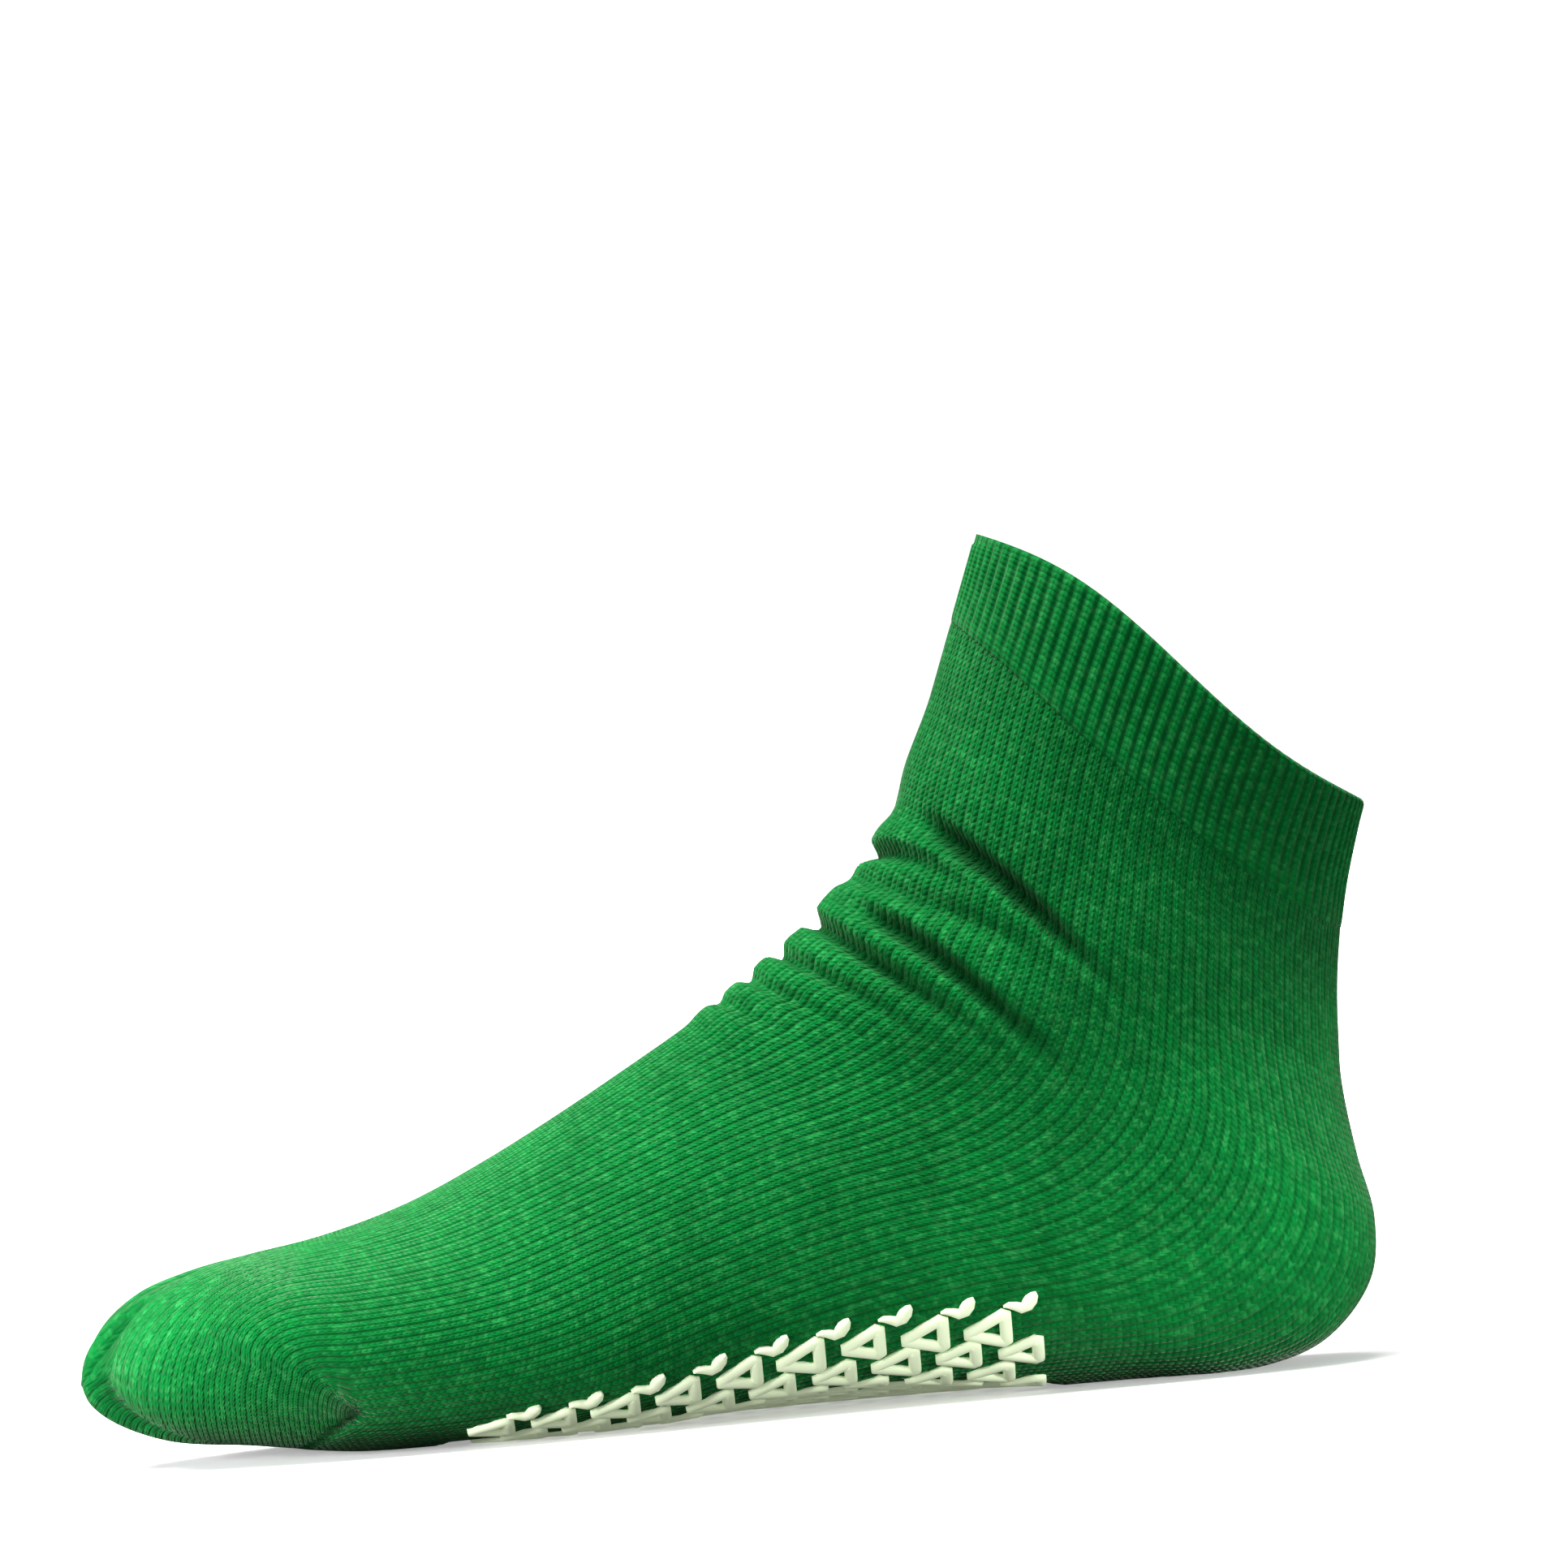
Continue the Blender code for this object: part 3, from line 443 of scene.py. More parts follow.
class SockPrint(bpy.types.PropertyGroup):
    """Sizes of the printed grips."""

    thickness: bpy.props.FloatProperty(
        name="Thickness", description="Height of a grip", default=0.0008, unit="LENGTH")
    side: bpy.props.FloatProperty(
        name="Side", description="Length of a grip's side", default=0.0092, unit="LENGTH")
    bar: bpy.props.FloatProperty(
        name="Bar", description="Width of a grip's bars", default=0.0024, unit="LENGTH")
    uneven: bpy.props.FloatProperty(
        name="Uneven", description="How much the grips differ in size", default=0.07)
    droop: bpy.props.FloatProperty(
        name="Droop", description="How far the rows close in on the middle at the heel end", default=0.085)
    pitch: bpy.props.FloatProperty(
        name="Pitch", description="From grip to grip along the foot", default=0.0117, unit="LENGTH")
    columns: bpy.props.IntProperty(
        name="Columns", description="Grips in a row of the solid model", default=9)
    chart: bpy.props.IntProperty(
        name="Chart", description="Steps around the sock in which the rows of grips are placed", default=108)
    start: bpy.props.FloatProperty(
        name="Start", description="From the toe tip to the print", default=0.0720, unit="LENGTH")
    margin: bpy.props.FloatProperty(
        name="Margin", description="Level cloth before and behind the print", default=0.0020, unit="LENGTH")
    ramp: bpy.props.FloatProperty(
        name="Ramp", description="Length over which the cloth comes down to the floor", default=0.0045,
        unit="LENGTH")
    colour: bpy.props.FloatVectorProperty(
        name="Cream", description="Colour of the rubber", subtype="COLOR", size=3, default=(0.87, 0.99, 0.68),
        min=0.0, max=1.0)


class SockStage(bpy.types.PropertyGroup):
    """The floor, the lights and the camera."""

    distance: bpy.props.FloatProperty(
        name="Distance", description="From the camera to the sock's middle plane", default=2.6, unit="LENGTH")
    picture_width: bpy.props.FloatProperty(
        name="Picture width", description="Width of the picture in the middle plane", default=0.2951, unit="LENGTH")
    aim_x: bpy.props.FloatProperty(
        name="Aim along", description="Place of the picture's middle along the foot", default=0.0169, unit="LENGTH")
    aim_z: bpy.props.FloatProperty(
        name="Aim height", description="Height of the picture's middle", default=0.11715, unit="LENGTH")
    elevation: bpy.props.FloatProperty(
        name="Elevation", description="How far the camera looks down", default=math.radians(0.6), unit="ROTATION")
    azimuth: bpy.props.FloatProperty(
        name="Azimuth", description="How far the camera stands towards the heel", default=0.0, unit="ROTATION")
    roll: bpy.props.FloatProperty(
        name="Roll", description="How far the toe end drops in the picture", default=math.radians(5.2),
        unit="ROTATION")
    white: bpy.props.FloatVectorProperty(
        name="White", description="Colour of the floor", subtype="COLOR", size=3, default=(0.93, 0.93, 0.93),
        min=0.0, max=1.0)
    ambient: bpy.props.FloatProperty(
        name="Ambient", description="Light from all round", default=0.30)
    key: bpy.props.FloatProperty(
        name="Key light", description="Strength of the light from above the toes", default=7.4)
    key_softness: bpy.props.FloatProperty(
        name="Key softness", description="How wide the key light is", default=math.radians(50.0), unit="ROTATION")
    toe_light: bpy.props.FloatProperty(
        name="Toe light", description="Power of the soft box in front of the toes, in watts", default=0.13)
    heel_light: bpy.props.FloatProperty(
        name="Heel light", description="Power of the soft box beside the heel, in watts", default=0.047)
    shadow_fill: bpy.props.FloatProperty(
        name="Shadow fill", description="How much the floor's shadow is lightened in the picture", default=0.35)
    bounce: bpy.props.FloatProperty(
        name="Bounce", description="How much light the floor throws back on the sock", default=0.205)


class SockSettings(bpy.types.PropertyGroup):
    """All settings of the sock."""

    form: bpy.props.PointerProperty(type=SockForm)
    knit: bpy.props.PointerProperty(type=SockKnit)
    cuff: bpy.props.PointerProperty(type=SockCuff)
    grips: bpy.props.PointerProperty(type=SockPrint)
    stage: bpy.props.PointerProperty(type=SockStage)


def smooth_step(value):
    """0 below 0, 1 above 1 and a soft rise between."""
    share = np.clip(value, 0.0, 1.0)
    return share * share * (3.0 - 2.0 * share)


def curve_through(place, table, along):
    """The table's columns at each place along, on a smooth curve through its rows at their places."""
    slope = np.gradient(table, place, axis=0)
    low = np.clip(np.searchsorted(place, along, side="right") - 1, 0, len(place) - 2)
    span = (place[low + 1] - place[low])[:, None]
    t = (along[:, None] - place[low][:, None]) / span
    return (
        (2 * t**3 - 3 * t**2 + 1) * table[low]
        + (t**3 - 2 * t**2 + t) * span * slope[low]
        + (3 * t**2 - 2 * t**3) * table[low + 1]
        + (t**3 - t**2) * span * slope[low + 1]
    )


def wale_shift(along):
    """How far the wales lie from even spacing at each place along the tube."""
    rows = np.array(WALE_SHIFTS)
    return curve_through(rows[:, 0], rows[:, 1:], along)[:, 0]


class Surface:
    """The sock's outer face: the points of the lofted tube for any places along it and any count round it."""

    def __init__(self, settings):
        self.form = settings.form
        self.knit = settings.knit
        self.grips = settings.grips
        self.table, self.place = self.section_table()
        self.length = np.linalg.norm(np.diff(self.table[:, :2], axis=0), axis=1).sum()

    def foot_rows(self):
        """The foot's sections in metres: top x, z, sole x, z, inner, outer, crest, then the shares as they are."""
        form = self.form
        rows = []
        for row in FOOT_SECTIONS:
            width = form.heel_width + row.fore * (form.ball_width - form.heel_width)
            low = form.toe_height * min(row.top, 1.0)
            top = low + (form.bend_height - form.toe_height) * max(row.top - 1.0, 0.0)
            rows.append((
                row.top_x * form.foot_length, top, row.sole_x * form.foot_length,
                row.sole * form.heel_notch_height, row.inner * width, row.outer * width, row.crest * width,
                row.waist, row.over, row.under_in, row.under_out,
            ))
        return rows

    def leg_rows(self, bend):
        """The leg's sections in metres, in the same columns, from the collar down to the bend's own row."""
        form = self.form
        front_x, front_z, back_x, back_z = bend[:4]
        collar_front = form.collar_setback - form.leg_depth / 2
        collar_back = form.collar_setback + form.leg_depth / 2
        rows = []
        for row in LEG_SECTIONS:
            rows.append((
                front_x + row.rise * (collar_front - front_x),
                front_z + row.rise * (form.collar_front_height - front_z),
                back_x + row.rise * (collar_back - back_x) - row.bow * form.leg_depth,
                back_z + row.rise * (form.collar_back_height - back_z),
                row.inner * form.leg_width, row.outer * form.leg_width, bend[6] * (1.0 - row.rise),
                row.waist, row.front_round, row.back_round, row.back_round,
            ))
        return rows

    def section_table(self):
        """All sections in metres, and the place of each one from 0 at the collar to 1 at the toe tip."""
        foot = self.foot_rows()
        table = np.array(self.leg_rows(foot[0]) + foot)
        middle_x, middle_z = (table[:, 0] + table[:, 2]) / 2, (table[:, 1] + table[:, 3]) / 2
        lines = (
            np.stack([table[:, 0], table[:, 1], table[:, 6]], axis=1),
            np.stack([table[:, 2], table[:, 3], 0.0 * table[:, 6]], axis=1),
            np.stack([middle_x, middle_z, table[:, 4]], axis=1),
            np.stack([middle_x, middle_z, table[:, 5]], axis=1),
        )
        steps = sum(np.linalg.norm(np.diff(line, axis=0), axis=1) for line in lines)
        place = np.concatenate([[0.0], np.cumsum(steps)])
        return table, place / place[-1]

    def sections_at(self, along):
        """The table's columns at each place along the tube, on a smooth curve through the rows."""
        return curve_through(self.place, self.table, along)

    def outlines(self, along):
        """The closed outline of each section before it meets the floor, from the top line round the outer side."""
        form = self.form
        columns = self.sections_at(along).T[:, :, None]
        top_x, top_z, sole_x, sole_z, inner, outer, crest, waist, over_n, under_in_n, under_out_n = columns
        angle = np.linspace(0.0, 2 * math.pi, OUTLINE_STEPS + 1)[None, :]
        up, side = np.cos(angle), np.sin(angle)
        over = up >= 0.0
        exponent = 2.0 / np.where(over, over_n, np.where(side >= 0.0, under_out_n, under_in_n))
        rise = np.abs(up) ** exponent
        height = np.where(over, waist + (1.0 - waist) * rise, waist * (1.0 - rise))
        half_width = np.where(side >= 0.0, np.maximum(outer, 0.0), np.maximum(inner, 0.0))
        y = crest * height + np.sign(side) * half_width * np.abs(side) ** exponent
        x = sole_x + (top_x - sole_x) * height
        z = sole_z + (top_z - sole_z) * height
        sway = form.collar_sway * (1.0 - smooth_step(along[:, None] / form.sway_end))
        z = z - sway * np.sin(2 * math.pi * height) + form.sway_lift * sway * np.sin(math.pi * height)
        return np.stack([x, y, z], axis=-1)

    def slanted(self, points):
        """The points with the outer toes drawn back."""
        form = self.form
        x, y, z = np.moveaxis(points, -1, 0)
        aside = np.maximum(y / form.ball_width - form.slant_start, 0.0) / form.slant_width
        near = np.maximum(1.0 - x / (form.slant_reach * form.foot_length), 0.0)
        x = x + form.slant_depth * form.foot_length * aside**2 * near**form.slant_fade
        beside = smooth_step((form.big_toe_y - y / form.ball_width) / form.big_toe_edge)
        felt = 1.0 - smooth_step(x / (BIG_TOE_REACH * form.foot_length))
        x = x + form.big_toe_back * form.foot_length * beside * felt
        return np.stack([x, y, z], axis=-1)

    def standing(self, points):
        """The points lifted to where the floor, the grips or the arch hold the cloth."""
        form, grips = self.form, self.grips
        x, y, z = np.moveaxis(points, -1, 0)
        front = grips.start - grips.margin
        rear = grips.start + grips.columns * grips.pitch + grips.margin
        behind_ball = smooth_step((x - front) / grips.ramp + 1.0)
        before_heel = smooth_step((rear - x) / grips.ramp + 1.0)
        on_grips = (grips.thickness + self.knit.clearance) * behind_ball * before_heel
        reach = np.clip(np.abs(x / form.foot_length - form.arch_centre) / form.arch_half_length, 0.0, 1.0)
        inward = smooth_step((form.arch_outer - y / form.ball_width) / (form.arch_outer - form.arch_inner))
        arch = form.arch_height * np.cos(reach * math.pi / 2) ** 2 * inward**form.arch_round
        return np.stack([x, y, np.maximum(z, on_grips + arch)], axis=-1)

    def even(self, outlines, count, shift):
        """Each outline as count points down the outer side and up the inner side, evenly spaced but for the shift."""
        half = OUTLINE_STEPS // 2
        share = np.arange(count) / count * 2.0
        side = np.where(share < 1.0, share, share - 1.0)
        rings = np.empty((len(outlines), count, 3))
        for ring, outline, move in zip(rings, outlines, shift):
            step = np.linalg.norm(np.diff(outline, axis=0), axis=1)
            length = np.concatenate([[0.0], np.cumsum(step)])
            bend = move * np.sin(math.pi * side)
            down = (side + bend) * length[half]
            up = length[half] + (side - bend) * (length[-1] - length[half])
            wanted = np.where(share < 1.0, down, up)
            for axis in range(3):
                ring[:, axis] = np.interp(wanted, length, outline[:, axis])
        return rings

    def normals(self, grid):
        """The outward direction at each point of a tube of rings whose last ring is the closed tip."""
        around = np.roll(grid, -1, axis=1) - np.roll(grid, 1, axis=1)
        along = np.gradient(grid, axis=0)
        normal = np.cross(around, along)
        normal = normal / np.maximum(np.linalg.norm(normal, axis=-1, keepdims=True), 1e-12)
        tip = normal[-2].mean(axis=0)
        normal[-1] = tip / np.linalg.norm(tip)
        return normal

    def folds(self, along, count, creases_only=False):
        """How far the folds stand out, and the creases lie in, at each point of the tube."""
        form = self.form
        round_share = self.round_share(count)
        height = np.zeros((len(along), count))
        for fold in FOLDS:
            rolled = fold.height > 0.0
            if creases_only and rolled:
                continue
            turn = np.hypot(round_share, FRONT_ROUND) - FRONT_ROUND / 2 if rolled else round_share
            centre = fold.along + (fold.slant * turn + fold.bend * round_share**2)[None, :]
            width = fold.width * form.toe_height / self.length
            nudges = ROLL_NUDGES if rolled and fold.full > 0.0 else (0.0,)
            ridge = np.zeros(height.shape)
            for nudge in nudges:
                away = np.clip(np.abs((along[:, None] - centre) / width + nudge), 0.0, 1.0)
                ridge += (1.0 - fold.full) * smooth_step(1.0 - away) + fold.full * (1.0 - away**2) ** ROLL_POWER
            ridge /= len(nudges)
            begun = smooth_step(1.0 + (round_share - fold.start) / FOLD_START)
            fade = begun * (1.0 - smooth_step(1.0 + (round_share - fold.reach) / FOLD_END))
            height += fold.height * form.toe_height * ridge * fade[None, :]
        return height

    def painted_crease_shade(self, along, count):
        """How much painted shade each point gets for lying in a crease or between two toes, from 0 to 1."""
        depth = -self.folds(along, count, creases_only=True) / (HOLLOW_DEPTH * self.form.toe_height)
        valleys = self.toe_grooves(self.cloth(along, count, True))[1]
        return np.maximum(smooth_step(depth), valleys)

    def toe_grooves(self, grid):
        """How deep the grooves between the toes let the cloth in, and how much painted shade they get."""
        form = self.form
        x, y = grid[..., 0], grid[..., 1]
        depth, dark = np.zeros(x.shape), np.zeros(x.shape)
        for groove in TOE_GROOVES:
            aside = np.abs(y - groove.y * form.ball_width) / (groove.width * form.toe_height * 2.0)
            back = x / (groove.reach * form.foot_length)
            valley = (1.0 - smooth_step(aside)) * (1.0 - smooth_step(back))
            depth += groove.depth * form.toe_height * valley
            # Painted shade between the toes, darkest in the groove beside the big toe
            dark = np.maximum(dark, groove.dark * valley)
        return depth, dark

    def relief(self, grid):
        """How far the ankle bones push the cloth out and the grooves between the toes let it in."""
        form = self.form
        x, y, z = np.moveaxis(grid, -1, 0)
        relief = np.zeros(x.shape)
        for bump in BUMPS:
            away = np.sqrt(
                (x - bump.x * form.foot_length) ** 2
                + (y - bump.y * form.heel_width) ** 2
                + (z - bump.z * form.heel_notch_height) ** 2
            )
            relief += bump.height * form.heel_width * (1.0 - smooth_step(away / (bump.size * form.heel_width)))
        relief -= self.toe_grooves(grid)[0]
        return relief

    def cloth(self, along, count, knitted):
        """Rings of points on the smooth tube, on its wales where knitted is set."""
        shift = wale_shift(along) if knitted else np.zeros(len(along))
        return self.even(self.standing(self.slanted(self.outlines(along))), count, shift)

    def tube(self, along, count, offset, fold_share=1.0, knitted=True):
        """Rings of points offset outwards from the outer face by the metres given for each point.

        The rings' points lie on the wales where knitted is set, and are evenly spaced where it isn't.
        """
        grid = self.cloth(along, count, knitted)
        normal = self.normals(grid)
        relief = self.relief(grid) + fold_share * self.folds(along, count)
        return self.standing(grid + normal * relief[..., None]) + normal * offset[..., None]

    def round_share(self, count):
        """How far round each column lies, from 0 at the front or top to 1 at the back or sole."""
        return 1.0 - np.abs(1.0 - 2.0 * np.arange(count) / count)

    def nearness(self, along):
        """1 at the folds of the ankle and 0 away from them."""
        begun = smooth_step((along - FIRST_FOLD) / FOLD_LEAD + 1.0)
        return begun * smooth_step((LAST_FOLD - along) / FOLD_TAIL + 1.0)

    def spaced(self, start, count):
        """Places from start to the toe tip, closer together at the folds and in the toe pocket."""
        fine = np.linspace(start, 1.0, SPACING_STEPS)
        at_folds = FOLD_ROWS * self.nearness(fine)
        at_toes = smooth_step((fine - POCKET_START) / POCKET_LEAD + 1.0)
        weight = np.concatenate([[0.0], np.cumsum(1.0 + self.knit.crowding * (at_folds + at_toes)[1:])])
        return np.interp(np.linspace(0.0, weight[-1], count), weight, fine)

    def toe_wales(self, along, count):
        """The wale, the course, how far inside the toe pocket and how clear of its seam each point of the tube is.

        The wales over the toes run on round the tip and back under it, so seen from the side they nest round the
        gore's end. The share of the way from the gore's end out to the outline says which wale a point lies on.
        """
        form, knit = self.form, self.knit
        grid = self.even(self.outlines(along), count, wale_shift(along))
        x, z = grid[..., 0], grid[..., 2]
        gore_x, gore_z = knit.gore_x * form.foot_length, knit.gore_z * form.toe_height
        fine = self.sections_at(np.linspace(0.0, 1.0, SPACING_STEPS))
        rim_turn = np.arctan2(fine[:, 1] - gore_z, gore_x - fine[:, 0])
        rim_reach = np.hypot(fine[:, 1] - gore_z, gore_x - fine[:, 0])
        keep = fine[:, 0] < gore_x + RIM_BEHIND * form.toe_height
        order = np.argsort(rim_turn[keep])
        above = np.maximum(z - gore_z, 0.0)
        turn = np.arctan2(above, gore_x - x)
        reach = np.hypot(above, gore_x - x)
        rim = np.interp(turn, rim_turn[keep][order], rim_reach[keep][order])
        level = np.interp(math.pi / 2, rim_turn[keep][order], rim_reach[keep][order])
        share = np.clip(reach / rim, 0.0, 1.0)
        share = share * rim / (level + (rim - level) * share)
        row = int(np.argmin(np.abs(grid[:, 0, 0] - gore_x)))
        half = count // 2
        up = (z[row, :half] - gore_z) / (z[row, 0] - gore_z)
        climbing = np.maximum.accumulate(up[::-1])
        wale_of = knit.wales * np.arange(half)[::-1] / count
        nested = np.interp(share, climbing, wale_of)
        evenly = (1.0 - share) * np.interp(0.0, climbing, wale_of)
        wale = nested + EVENED * (evenly - nested) * np.clip(np.cos(turn), 0.0, 1.0) ** 2
        turned = (math.pi / 2 - turn) * TURN_RADIUS * form.toe_height + np.maximum(gore_z - z, 0.0)
        course = knit.courses * (along[row] + turned / self.length)
        edge = gore_x - knit.seam_lean * np.maximum(gore_z - z, 0.0)
        inside = edge - x
        fading = 1.0 - smooth_step((gore_z - z) / (SEAM_FALL * gore_z))
        seam = 1.0 - fading * (1.0 - smooth_step(np.hypot(inside, above) / knit.seam_width))
        rise = smooth_step((z - gore_z) / (POCKET_RISE * form.toe_height))
        blend = POCKET_EDGE + POCKET_BLEND * form.toe_height * rise
        return wale, course, smooth_step(inside / blend), seam


def settings_of(context):
    """The sock's settings in the scene."""
    return context.scene.sock_settings


def add_tube(bm, rings, corner_uv, wrap_rows=False):
    """Adds a tube through the rings to the mesh, welded where its edges meet.

    With wrap_rows its last ring meets the first. corner_uv gives a face's corner its UV from its column and row.
    """
    rows, columns = len(rings), len(rings[0])
    row_steps = rows if wrap_rows else rows - 1
    corners = bm.loops.layers.uv.get("Knit") or bm.loops.layers.uv.new("Knit")
    before = set(bm.faces)
    made = bmesh.ops.create_grid(bm, x_segments=columns, y_segments=row_steps, size=0.5)["verts"]
    for face in bm.faces:
        if face in before:
            continue
        for loop in face.loops:
            flat = loop.vert.co
            loop[corners].uv = corner_uv(round((flat.x + 0.5) * columns), round((flat.y + 0.5) * row_steps))
    for vert in made:
        column = round((vert.co.x + 0.5) * columns) % columns
        row = round((vert.co.y + 0.5) * row_steps) % rows
        vert.co = rings[row][column]
    bmesh.ops.remove_doubles(bm, verts=made, dist=WELD)


def finished(bm, name, material, nodes):
    """The mesh as a smooth object at the origin that rides on the root body and stands for the CAD nodes."""
    bmesh.ops.recalc_face_normals(bm, faces=bm.faces)
    mesh = bpy.data.meshes.new(name)
    bm.to_mesh(mesh)
    bm.free()
    mesh.materials.append(material)
    mesh.shade_smooth()
    piece = bpy.data.objects.new(name, mesh)
    bpy.context.scene.collection.objects.link(piece)
    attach(piece, ROOT)
    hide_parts(*nodes)
    return piece


def centre_shift(surface):
    """The move from the tube's own place, with the toe tip at x = 0, to the frame's."""
    low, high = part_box("knit_sock")
    level = np.zeros((PROBE_ROWS, PROBE_COLUMNS))
    x, y, _ = np.moveaxis(surface.tube(np.linspace(PROBE_START, 1.0, PROBE_ROWS), PROBE_COLUMNS, level), -1, 0)
    return Vector((low.x - x.min(), (low.y + high.y - y.min() - y.max()) / 2, 0.0))


# ---------------------------------------------------------------- materials


def new_node(tree, kind, values=(), **options):
    """A node of the kind with its options set and its first inputs set to values or linked from sockets."""
    node = tree.nodes.new(kind)
    for key, value in options.items():
        setattr(node, key, value)
    for socket, value in zip(node.inputs, values):
        if value is None:
            continue
        if isinstance(value, bpy.types.NodeSocket):
            tree.links.new(value, socket)
        else:
            socket.default_value = value
    return node


def calc(tree, operation, *values):
    """The output of a Math node."""
    return new_node(tree, "ShaderNodeMath", values, operation=operation).outputs[0]


def ramp(tree, value, low, high, to_low=0.0, to_high=1.0):
    """A smooth rise of value from low to high, between two results."""
    node = new_node(tree, "ShaderNodeMapRange", (value, low, high, to_low, to_high), interpolation_type="SMOOTHSTEP")
    return node.outputs[0]


def mix_colour(tree, share, first, second, blend="MIX"):
    """Two colours mixed by share."""
    values = (share, None, None, None, None, None, first, second)
    return new_node(tree, "ShaderNodeMix", values, data_type="RGBA", blend_type=blend, clamp_factor=True).outputs[2]


def new_group(name, inputs, outputs):
    """A node group with named float inputs and outputs."""
    group = bpy.data.node_groups.new(name, "ShaderNodeTree")
    for label, default in inputs:
        socket = group.interface.new_socket(name=label, in_out="INPUT", socket_type="NodeSocketFloat")
        socket.default_value = default
    for label in outputs:
        group.interface.new_socket(name=label, in_out="OUTPUT", socket_type="NodeSocketFloat")
    return group, group.nodes.new("NodeGroupInput"), group.nodes.new("NodeGroupOutput")


def stitch_group():
    """Plain knitting in pairs of columns: the stitches' height, the grooves and a random value for each stitch."""
    inputs = (("Pair", 0.0), ("Course", 0.0), ("Slope", 0.55), ("Columns", 2.0))
    group, given, result = new_group("Knit stitches", inputs, ("Height", "Groove", "Stitch"))
    pair, course, slope, columns = given.outputs[:4]
    wale = calc(group, "MULTIPLY", pair, columns)
    across = calc(group, "FRACT", wale)
    out = calc(group, "MULTIPLY", calc(group, "ABSOLUTE", calc(group, "SUBTRACT", across, 0.5)), 2.0)
    leaning = calc(group, "ADD", course, calc(group, "MULTIPLY", out, slope))
    arch = calc(group, "SINE", calc(group, "MULTIPLY", calc(group, "FRACT", leaning), math.pi))
    leg = calc(group, "SUBTRACT", calc(group, "MULTIPLY", out, 2.0), 1.0)
    leg = calc(group, "SUBTRACT", 1.0, calc(group, "MULTIPLY", leg, leg))
    middle = calc(group, "ABSOLUTE", calc(group, "SUBTRACT", calc(group, "FRACT", pair), 0.5))
    deep = ramp(group, middle, 0.2, 0.3, 0.50, 1.0)
    groove = calc(group, "MULTIPLY", ramp(group, out, 0.10, 0.95), deep)
    yarn = calc(group, "MULTIPLY", calc(group, "ADD", calc(group, "MULTIPLY", arch, 0.55), 0.45),
                calc(group, "ADD", calc(group, "MULTIPLY", leg, 0.45), 0.55))
    height = calc(group, "SUBTRACT", yarn, calc(group, "MULTIPLY", groove, 0.7))
    cell = new_node(group, "ShaderNodeCombineXYZ",
                    (calc(group, "FLOOR", wale), calc(group, "FLOOR", leaning), 0.0)).outputs[0]
    noise = new_node(group, "ShaderNodeTexWhiteNoise", (cell,), noise_dimensions="3D")
    for socket, value in zip(result.inputs, (height, groove, noise.outputs[0])):
        group.links.new(value, socket)
    return group


def fibre_group():
    """Loose fibres and uneven yarn: a fine height, soft patches and flecks."""
    group, given, result = new_group("Loose fibres", (("Scale", 1.0),), ("Height", "Patches", "Flecks"))
    place = new_node(group, "ShaderNodeTexCoord").outputs["Object"]
    for socket, size, detail in zip(result.inputs, (1400.0, 38.0, 620.0), (3.0, 2.0, 1.0)):
        scale = calc(group, "MULTIPLY", given.outputs[0], size)
        noise = new_node(group, "ShaderNodeTexNoise", (place, None, scale, detail, 0.6))
        group.links.new(noise.outputs[0], socket)
    return group


def group_node(tree, name, values=()):
    """A node that uses the named group, made on first use."""
    makers = {"Knit stitches": stitch_group, "Loose fibres": fibre_group}
    group = bpy.data.node_groups.get(name) or makers[name]()
    return new_node(tree, "ShaderNodeGroup", values, node_tree=group)


def new_material(name):
    """A material with an empty Principled shader, and its node tree."""
    material = bpy.data.materials.new(name)
    material.use_nodes = True
    return material, material.node_tree, material.node_tree.nodes["Principled BSDF"]


def add_bump(tree, shader, height, strength, distance):
    """Raises the shader's surface by the height, over a distance in metres."""
    bump = new_node(tree, "ShaderNodeBump")
    bump.inputs["Strength"].default_value = strength
    bump.inputs["Distance"].default_value = distance
    tree.links.new(height, bump.inputs["Height"])
    tree.links.new(bump.outputs[0], shader.inputs["Normal"])


